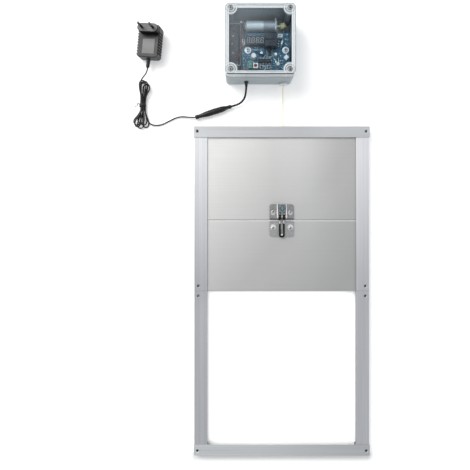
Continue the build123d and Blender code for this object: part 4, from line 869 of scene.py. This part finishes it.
# ------------------------------------------------------------------- the wires
WIRES = [
    ("motor_wire_red", "red_wire", [(-65.0, 442.2, 22), (-68.0, 438.0, 26.0), (-68.8, 427.0, 33.0), (-67.6, 421.5, 37.6), (-65.6, 418.0, 38.6)]),
    ("motor_wire_black", "black_wire", [(-65.0, 451.8, 22), (-68.6, 447.0, 25.5), (-66.0, 439.0, 33.5), (-63.6, 428.5, 39.5), (-64.6, 419.5, 42.6),
                                        (-65.5, 414.0, 41.2)]),
    ("battery_wire_red", "red_wire", [(-84.5, 384.6, 18.4), (-83.6, 386.6, 22.0), (-78.6, 389.6, 22.4), (-73.2, 395.6, 24.6), (-70.6, 402.6, 33.0),
                                      (-69.0, 408.0, 39.8), (-66.0, 412.0, 41.0)]),
    ("power_wire_red", "red_wire", [(-61.3, 360.9, 18.6), (-62.5, 364.0, 21.0), (-65.2, 366.2, 28.5), (-64.0, 367.4, 36.0), (-60.5, 370.2, 39.6),
                                    (-57.6, 373.2, 38.6)]),
]
for i, (name, mat, pts) in enumerate(WIRES):
    w = nurbs(name, pts, 1.4, mat, steps=10, ring=4)
    if i == 0:
        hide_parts("wiring")

# ------------------------------------------------------------- the hank's tie
bm = bmesh.new()
SEG = 40
for turn, (yc, tw) in enumerate(((317.4, 0.10), (319.6, -0.12))):
    rings = []
    for i in range(SEG):
        a = 2 * math.pi * i / SEG
        cx = -238.2 + 5.5 * math.copysign(abs(math.cos(a)) ** 0.75, math.cos(a))
        cz = 4.75 + 4.65 * math.copysign(abs(math.sin(a)) ** 0.75, math.sin(a))
        yy = yc + 0.9 * math.sin(a + turn * 1.3) * 0.6 + tw * (cx + 238.2)
        out = Vector((math.cos(a), 0, math.sin(a)))
        rings.append([bm.verts.new((Vector((cx, yy, cz)) + out * o + Vector((0, w, 0))) * MM)
                      for o, w in ((-0.15, -1.0), (0.30, -0.75), (0.42, 0.0), (0.30, 0.75), (-0.15, 1.0))])
    for i in range(SEG):
        p, q = rings[i], rings[(i + 1) % SEG]
        for k in range(5):
            bm.faces.new((p[k], q[k], q[(k + 1) % 5], p[(k + 1) % 5]))
tie = obj("hank_tie_band", bm, "tie")
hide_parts("hank_tie")
for name, pts in (("tie_end_a", [(-242.2, 319.6, 7.4), (-245.0, 321.4, 6.4), (-247.6, 319.6, 4.8), (-249.6, 317.4, 3.0), (-253.2, 316.6, 1.6)]),
                  ("tie_end_b", [(-242.4, 317.8, 7.2), (-244.4, 320.4, 8.0), (-246.8, 322.4, 7.0), (-248.4, 320.8, 5.0), (-247.4, 318.6, 3.6)])):
    e = nurbs(name, pts, 0.9, "tie_end", ring=3, steps=8)
    e.scale = (1, 1, 1)
mm(*LEAD[0])

# ---------------------------------------------------------------- the adapter
AW, AH, AD, OVH = 38.0, 54.0, 22.5, 12.2
R = Matrix.Rotation(math.radians(-6), 3, "Z") @ Matrix.Rotation(math.radians(3), 3, "X") @ Matrix.Rotation(math.radians(-9), 3, "Y")
T = Vector((-228.26, 380.05, 14.08)) - R @ Vector((0, -15.0, 13.0))
print("ADAPTER ORIGIN", [round(v, 2) for v in T])


def ad(p):
    return (R @ Vector(p) + T) * MM


paint("adapter_pins", ["nickel", "sleeve"], lambda c, q: 0 if (R.inverted() @ (c - T)).z > 44.75 else 1)
RI = R.inverted()


def case_front(c, q):
    """The skirt of the raised plug base and the rib notches are painted near-black as shade, and the top of the raised
    base takes a lighter copy of the case plastic as painted light.
    """
    p, m = RI @ (c - T), RI @ q
    if p.z > AD + 0.05:
        return 1 if m.z < 0.93 else 2
    return rib_notch(c, q)


# painted shade: the notches between the side ribs take the near-black sleeve plastic
def rib_notch(c, q):
    p, m = RI @ (c - T), RI @ q
    if 6.2 < p.y < 42.0 and AW / 2 - 2.2 < abs(p.x) < AW / 2 - 0.3 and abs(m.z) < 0.75 and p.z < AD - 0.2:
        return 1
    return 0


paint("adapter_case_front", ["adapter", "sleeve", "adapter_top_painted_light"], case_front)


def overlay(m, masks):
    """Adds (mask, colour) layers over a finished material's colour."""
    n = Nodes.__new__(Nodes)
    n.m, n.nt = m, m.node_tree
    n.b = next(k for k in n.nt.nodes if k.type == "BSDF_PRINCIPLED")
    n.tc = next(k for k in n.nt.nodes if k.type == "TEX_COORD")
    c = n.b.inputs["Base Color"].links[0].from_socket
    for f, col in masks(n):
        c = n.mix(f, c, col)
    n.link(c, n.b.inputs["Base Color"])


def case_painted_shade(n):
    """Painted shade on the case's face: a painted shadow below the raised plug base, and dark bands along the case's
    lower front edge and its +x side.
    """
    p = n.xyz()
    lx, ly, lz = [n.math("MULTIPLY", n.math("ADD", n.math("ADD", n.math("MULTIPLY", n.math("SUBTRACT", p[0], T.x * MM), RI[i][0]),
                         n.math("MULTIPLY", n.math("SUBTRACT", p[1], T.y * MM), RI[i][1])),
                         n.math("MULTIPLY", n.math("SUBTRACT", p[2], T.z * MM), RI[i][2])), 1000.0) for i in range(3)]
    ex = n.math("MULTIPLY", n.math("SUBTRACT", lx, 3.5), 1 / 15.5)
    ey = n.math("MULTIPLY", n.math("SUBTRACT", ly, 38.0), 1 / 7.0)
    e = n.math("ADD", n.math("MULTIPLY", ex, ex), n.math("MULTIPLY", ey, ey))
    front = n.remap(lz, AD - 2.2, AD - 1.6, 0.0, 1.0)
    painted_shadow_below = n.math("MULTIPLY", n.remap(e, 0.45, 1.15, 0.95, 0.0), front)
    edge = n.math("MULTIPLY", n.math("MULTIPLY", n.remap(ly, 0.9, 1.5, 1.0, 0.0), front), 0.8)
    side = n.math("MULTIPLY", n.math("MULTIPLY", n.remap(lx, AW / 2 - 2.4, AW / 2 - 1.6, 0.0, 1.0), front), 0.55)
    return [(painted_shadow_below, (0.003, 0.003, 0.003)), (edge, (0.004, 0.004, 0.004)), (side, (0.008, 0.008, 0.008))]


# painted shade on the adapter case's face
overlay(M["adapter"], case_painted_shade)
paint("adapter_case_rear", ["adapter", "sleeve"], rib_notch)
bm = bmesh.new()
fs = add_box(bm, -9.6, 11.6, 6.0, 30.2, AD - 0.40, AD - 0.06, 0.12)
for v in bm.verts:
    v.co = ad(v.co / MM)
plate = obj("adapter_panel", bm, "label", False)

# --------------------------------------------------------------- the electronics
PZ = 34.0
bm = bmesh.new()


def digit(bm, x, y, w, h, t, slant, z):
    """Seven bevelled segments of one digit."""
    def seg(cx, cy, horizontal, length):
        l, k = length / 2, t / 2
        if horizontal:
            ps = [(-l, 0), (-l + k, k), (l - k, k), (l, 0), (l - k, -k), (-l + k, -k)]
        else:
            ps = [(0, -l), (k, -l + k), (k, l - k), (0, l), (-k, l - k), (-k, -l + k)]
        lo = [bm.verts.new(mm(cx + px + slant * (cy + py - y), cy + py, z)) for px, py in ps]
        hi = [bm.verts.new(mm(cx + px * 0.94 + slant * (cy + py - y), cy + py * 0.94, z + 0.12)) for px, py in ps]
        if not horizontal:
            lo.reverse()
            hi.reverse()
        bm.faces.new(list(reversed(hi)))
        for i in range(6):
            bm.faces.new((lo[i], hi[i], hi[(i + 1) % 6], lo[(i + 1) % 6]))
    g = 0.16
    seg(x, y + h / 2, True, w - g)
    seg(x, y, True, w - g)
    seg(x, y - h / 2, True, w - g)
    for sx in (-1, 1):
        for sy in (-1, 1):
            seg(x + sx * w / 2, y + sy * h / 4, False, h / 2 - g)


for i in range(4):
    digit(bm, -57.7 + i * 7.45, 415.8, 4.1, 8.6, 1.15, 0.10, PZ + 8.0)
for i in range(4):
    add_turned(bm, (-54.6 + i * 7.45, 411.2, PZ + 8.0), (0, 0, 1), [(0, 0.55), (0.12, 0.5)], 12)
digits = obj("display_digits", bm, "digit_off", False)

# areas that are taken on the board
TAKEN = [(-62, -31, 408.4, 423.2), (-31.4, -11, 403.4, 426), (-42, -20.4, 378.6, 388.6), (-26.8, -18, 392.6, 403.2), (-54, -45, 385, 394),
         (-15.2, -10.2, 391, 396.2), (-39, -33, 392.4, 398.6), (-68, -63, 409, 419), (-8.6, -1.2, 421, 427), (-57.8, -51, 370, 382),
         (-13, -6, 372, 380), (-18, -6.4, 386, 391), (-5.4, 1.2, 405, 421), (-50.4, -40, 399.4, 402.8), (-50.6, -41.4, 370.6, 379.8),
         (0, 10, 384, 394), (-39, -32.6, 370, 376.6), (-27.4, -21, 370, 376.6), (-64.6, -52.6, 396, 408), (-2, 10, 396, 408)]


def free(x, y, w, h):
    if not (-67.8 + w < x < 9.8 - w and 368.6 + h < y < 429.8 - h):
        return False
    return all(not (x0 - w < x < x1 + w and y0 - h < y < y1 + h) for x0, x1, y0, y1 in TAKEN)


# tracks of the board, as thin raised strips
bm = bmesh.new()


def strip(bm, a, b, w, z):
    a, b = Vector((a[0], a[1], 0)), Vector((b[0], b[1], 0))
    d = b - a
    if d.length < 0.1:
        return
    s = Vector((-d.y, d.x, 0)).normalized() * w / 2
    e = d.normalized() * w / 2
    lo = [bm.verts.new(((p + q) * MM) + Vector((0, 0, (z - 0.01) * MM))) for p, q in ((a - e, -s), (b + e, -s), (b + e, s), (a - e, s))]
    hi = [bm.verts.new(v.co + Vector((0, 0, 0.05 * MM))) for v in lo]
    bm.faces.new(hi)
    for i in range(4):
        bm.faces.new((lo[i], lo[(i + 1) % 4], hi[(i + 1) % 4], hi[i]))


ends = []
for i in range(150):
    x = round(rng.uniform(-67, 9) / 1.27) * 1.27
    y = 368.8 + round(rng.uniform(0, 60) / 1.27) * 1.27
    ends.append((x, y))
    ang = rng.choice((0, 90, 180, 270))
    w = rng.choice((0.35, 0.35, 0.5, 0.9))
    for k in range(rng.randint(2, 4)):
        L = rng.choice((2.54, 5.08, 7.62, 12.7))
        nx, ny = x + L * math.cos(math.radians(ang)), y + L * math.sin(math.radians(ang))
        nx, ny = min(max(nx, -67.6), 9.6), min(max(ny, 368.8), 429.6)
        strip(bm, (x, y), (nx, ny), w, PZ)
        x, y = nx, ny
        ang = (ang + rng.choice((-45, 45, 90))) % 360
    ends.append((x, y))
tracks = obj("board_tracks", bm, "trace", False)

bm = bmesh.new()
for x, y in ends:
    if free(x, y, 0.5, 0.5):
        add_turned(bm, (x, y, PZ), (0, 0, 1), [(0.0, 0.62), (0.07, 0.6), (0.09, 0.3), (0.05, 0.24)], 12)
for i in range(8):
    for y in (378.9, 388.3):
        add_turned(bm, (-39.95 + i * 2.54, y, PZ), (0, 0, 1), [(0.0, 0.8), (0.3, 0.62), (0.8, 0.3)], 12)
pads = obj("board_solder", bm, "solder")

# printed outlines, without lettering
bm = bmesh.new()


def outline(bm, x0, x1, y0, y1, w=0.22):
    for a, b in (((x0, y0), (x1, y0)), ((x1, y0), (x1, y1)), ((x1, y1), (x0, y1)), ((x0, y1), (x0, y0))):
        strip(bm, a, b, w, PZ + 0.03)


for b in ((-42.2, -20.0, 377.6, 389.6), (-27.2, -17.6, 392.2, 404.0), (-58.6, -50.2, 369.4, 382.8), (-51.4, -40.6, 370.2, 380.2), (-50.8, -39.8, 399.0, 403.2),
          (-15.8, -9.8, 390.4, 396.8), (-40.0, -31.8, 369.4, 377.4), (-28.4, -20.2, 369.4, 377.4), (-68.2, -62.2, 408.4, 419.6), (-9.2, -0.6, 420.6, 427.4)):
    outline(bm, *b)
ring = [(-49.2 + 5.0 * math.cos(t), 389.6 + 5.0 * math.sin(t)) for t in (2 * math.pi * i / 40 for i in range(41))]
for a, b in zip(ring, ring[1:]):
    strip(bm, a, b, 0.22, PZ + 0.03)
ring = [(-9.3 + 4.2 * math.cos(t), 376.0 + 4.2 * math.sin(t)) for t in (2 * math.pi * i / 40 for i in range(41))]
for a, b in zip(ring, ring[1:]):
    strip(bm, a, b, 0.22, PZ + 0.03)
silk = obj("board_print_lines", bm, "silk", False)

# small surface-mounted parts: body with two tinned ends
bm = bmesh.new()
placed = []
tries = 0
while len(placed) < 34 and tries < 4000:
    tries += 1
    x, y = rng.uniform(-67, 9), rng.uniform(369, 430)
    flat = rng.random() < 0.5
    w, h = (1.0, 0.625) if flat else (0.625, 1.0)
    if not free(x, y, w + 0.5, h + 0.5) or any(abs(x - a) < 2.6 and abs(y - b) < 2.6 for a, b in placed):
        continue
    placed.append((x, y))
    tone = rng.choice((0, 0, 2))
    add_box(bm, x - w * 0.62, x + w * 0.62, y - h * 0.62 if flat else y - h * 0.62, y + h * 0.62, PZ + 0.05, PZ + 0.6, 0.06, 0.0, tone)
    for s in (-1, 1):
        if flat:
            add_box(bm, *sorted((x + s * w * 0.6, x + s * w)), y - h * 0.66, y + h * 0.66, PZ + 0.02, PZ + 0.64, 0.06, 0.0, 1)
        else:
            add_box(bm, x - w * 0.66, x + w * 0.66, *sorted((y + s * h * 0.6, y + s * h)), PZ + 0.02, PZ + 0.64, 0.06, 0.0, 1)
smd = obj("board_small_parts", bm, "smd", False, mats=["smd", "solder", "film"])

# brass contact eyelets on the battery pack's face, and the vents beside them as near-black patches of painted shade
bm = bmesh.new()
for x, y in ((-83.2, 432.0), (-84.0, 419.0), (-83.2, 403.4)):
    add_turned(bm, (x, y, 18.2), (0, 0, 1), [(0, 2.0), (0.35, 1.95), (0.5, 1.6), (0.5, 0.95), (0.2, 0.8)], 24)
eyes = obj("pack_eyelets", bm, "brass")
bm = bmesh.new()
for x, y, w, h in ((-81.6, 440.6, 3.2, 1.2), (-77.6, 395.0, 1.2, 3.4), (-78.4, 426.0, 1.4, 1.4)):
    add_box(bm, x - w / 2, x + w / 2, y - h / 2, y + h / 2, 18.22, 18.50, 0.1)
vent = obj("pack_vents", bm, "recess", False)

# terminal screws in the green block
bm = bmesh.new()
for y in (373.4, 378.6):
    add_turned(bm, (-54.4, y, PZ + 5.5), (0, 0, 1), [(0, 1.35), (1.2, 1.35), (1.5, 1.1)], 20)
ts = obj("terminal_screws", bm, "screw")

# ------------------------------------------------------------------ floor, light
bm = bmesh.new()
bmesh.ops.create_grid(bm, x_segments=2, y_segments=2, size=4.0)
for v in bm.verts:
    v.co.z = -0.0004
me = bpy.data.meshes.new("floor")
bm.to_mesh(me)
bm.free()
floor = bpy.data.objects.new("floor", me)
COL.objects.link(floor)
fm = Nodes("floor_white")
fx, fy, fz = fm.xyz()
fax, fay = fm.math("ABSOLUTE", fx), fm.math("ABSOLUTE", fy)
# painted shade: the floor does not glow under the frame's bars and channels, so its holes stay dark
under = fm.math("MAXIMUM", fm.math("MULTIPLY", fm.remap(fax, 0.1300, 0.1320, 0.0, 1.0), fm.remap(fay, 0.2800, 0.2810, 1.0, 0.0)),
                fm.remap(fay, 0.2640, 0.2660, 0.0, 1.0))
under = fm.math("MULTIPLY", under, fm.math("MULTIPLY", fm.remap(fax, 0.1490, 0.1500, 1.0, 0.0), fm.remap(fay, 0.2800, 0.2810, 1.0, 0.0)))
# painted shadow: a darker, unlit strip on the floor below the bottom bar
low = fm.math("MULTIPLY", fm.remap(fy, -0.2800, -0.2805, 0.0, 1.0), fm.remap(fy, -0.2900, -0.3000, 1.0, 0.0))
low = fm.math("MULTIPLY", low, fm.remap(fax, 0.1500, 0.1600, 1.0, 0.0))
# painted light: the floor glows more inside the doorway, lifting the shadows there
doorway_painted_light = fm.math("MULTIPLY", fm.remap(fax, 0.1240, 0.1275, 1.0, 0.0), fm.math("MULTIPLY", fm.remap(fy, -0.262, -0.259, 0.0, 1.0), fm.remap(fy, -0.004, 0.0, 1.0, 0.0)))
fm.set(Base_Color=fm.mix(low, (0.97, 0.97, 0.97), (0.80, 0.80, 0.80)), Roughness=0.9, Emission_Color=(1.0, 1.0, 1.0), Emission_Strength=fm.math("MULTIPLY", fm.math("ADD", fm.math("MULTIPLY", doorway_painted_light, 0.25), 0.22), fm.remap(fm.math("MAXIMUM", under, low), 0.0, 1.0, 1.0, 0.0)))
me.materials.append(fm.m)

world = bpy.data.worlds.new("studio")
bpy.context.scene.world = world
world.use_nodes = True
bg = world.node_tree.nodes["Background"]
bg.inputs["Color"].default_value = (0.96, 0.98, 1.0, 1.0)
bg.inputs["Strength"].default_value = 0.55


def area(name, loc, target, size, power, color=(1, 1, 1)):
    d = bpy.data.lights.new(name, "AREA")
    d.shape = "RECTANGLE"
    d.size, d.size_y = size
    d.energy = power
    d.color = color
    o = bpy.data.objects.new(name, d)
    o.location = loc
    o.rotation_euler = (Vector(target) - Vector(loc)).to_track_quat("-Z", "Y").to_euler()
    COL.objects.link(o)
    return o


area("soft_key", (-1.05, 1.15, 1.75), (-0.05, 0.15, 0.0), (1.3, 1.3), 30.0, (1.0, 0.985, 0.96))
area("low_side", (-1.9, 1.5, 1.1), (0.0, 0.1, 0.0), (1.6, 1.4), 16.0)
area("right_fill", (1.6, -0.9, 1.0), (0.0, 0.1, 0.0), (1.0, 1.0), 9.0, (0.97, 0.98, 1.0))

bpy.context.scene.view_settings.view_transform = "Standard"
bpy.context.scene.view_settings.look = "None"
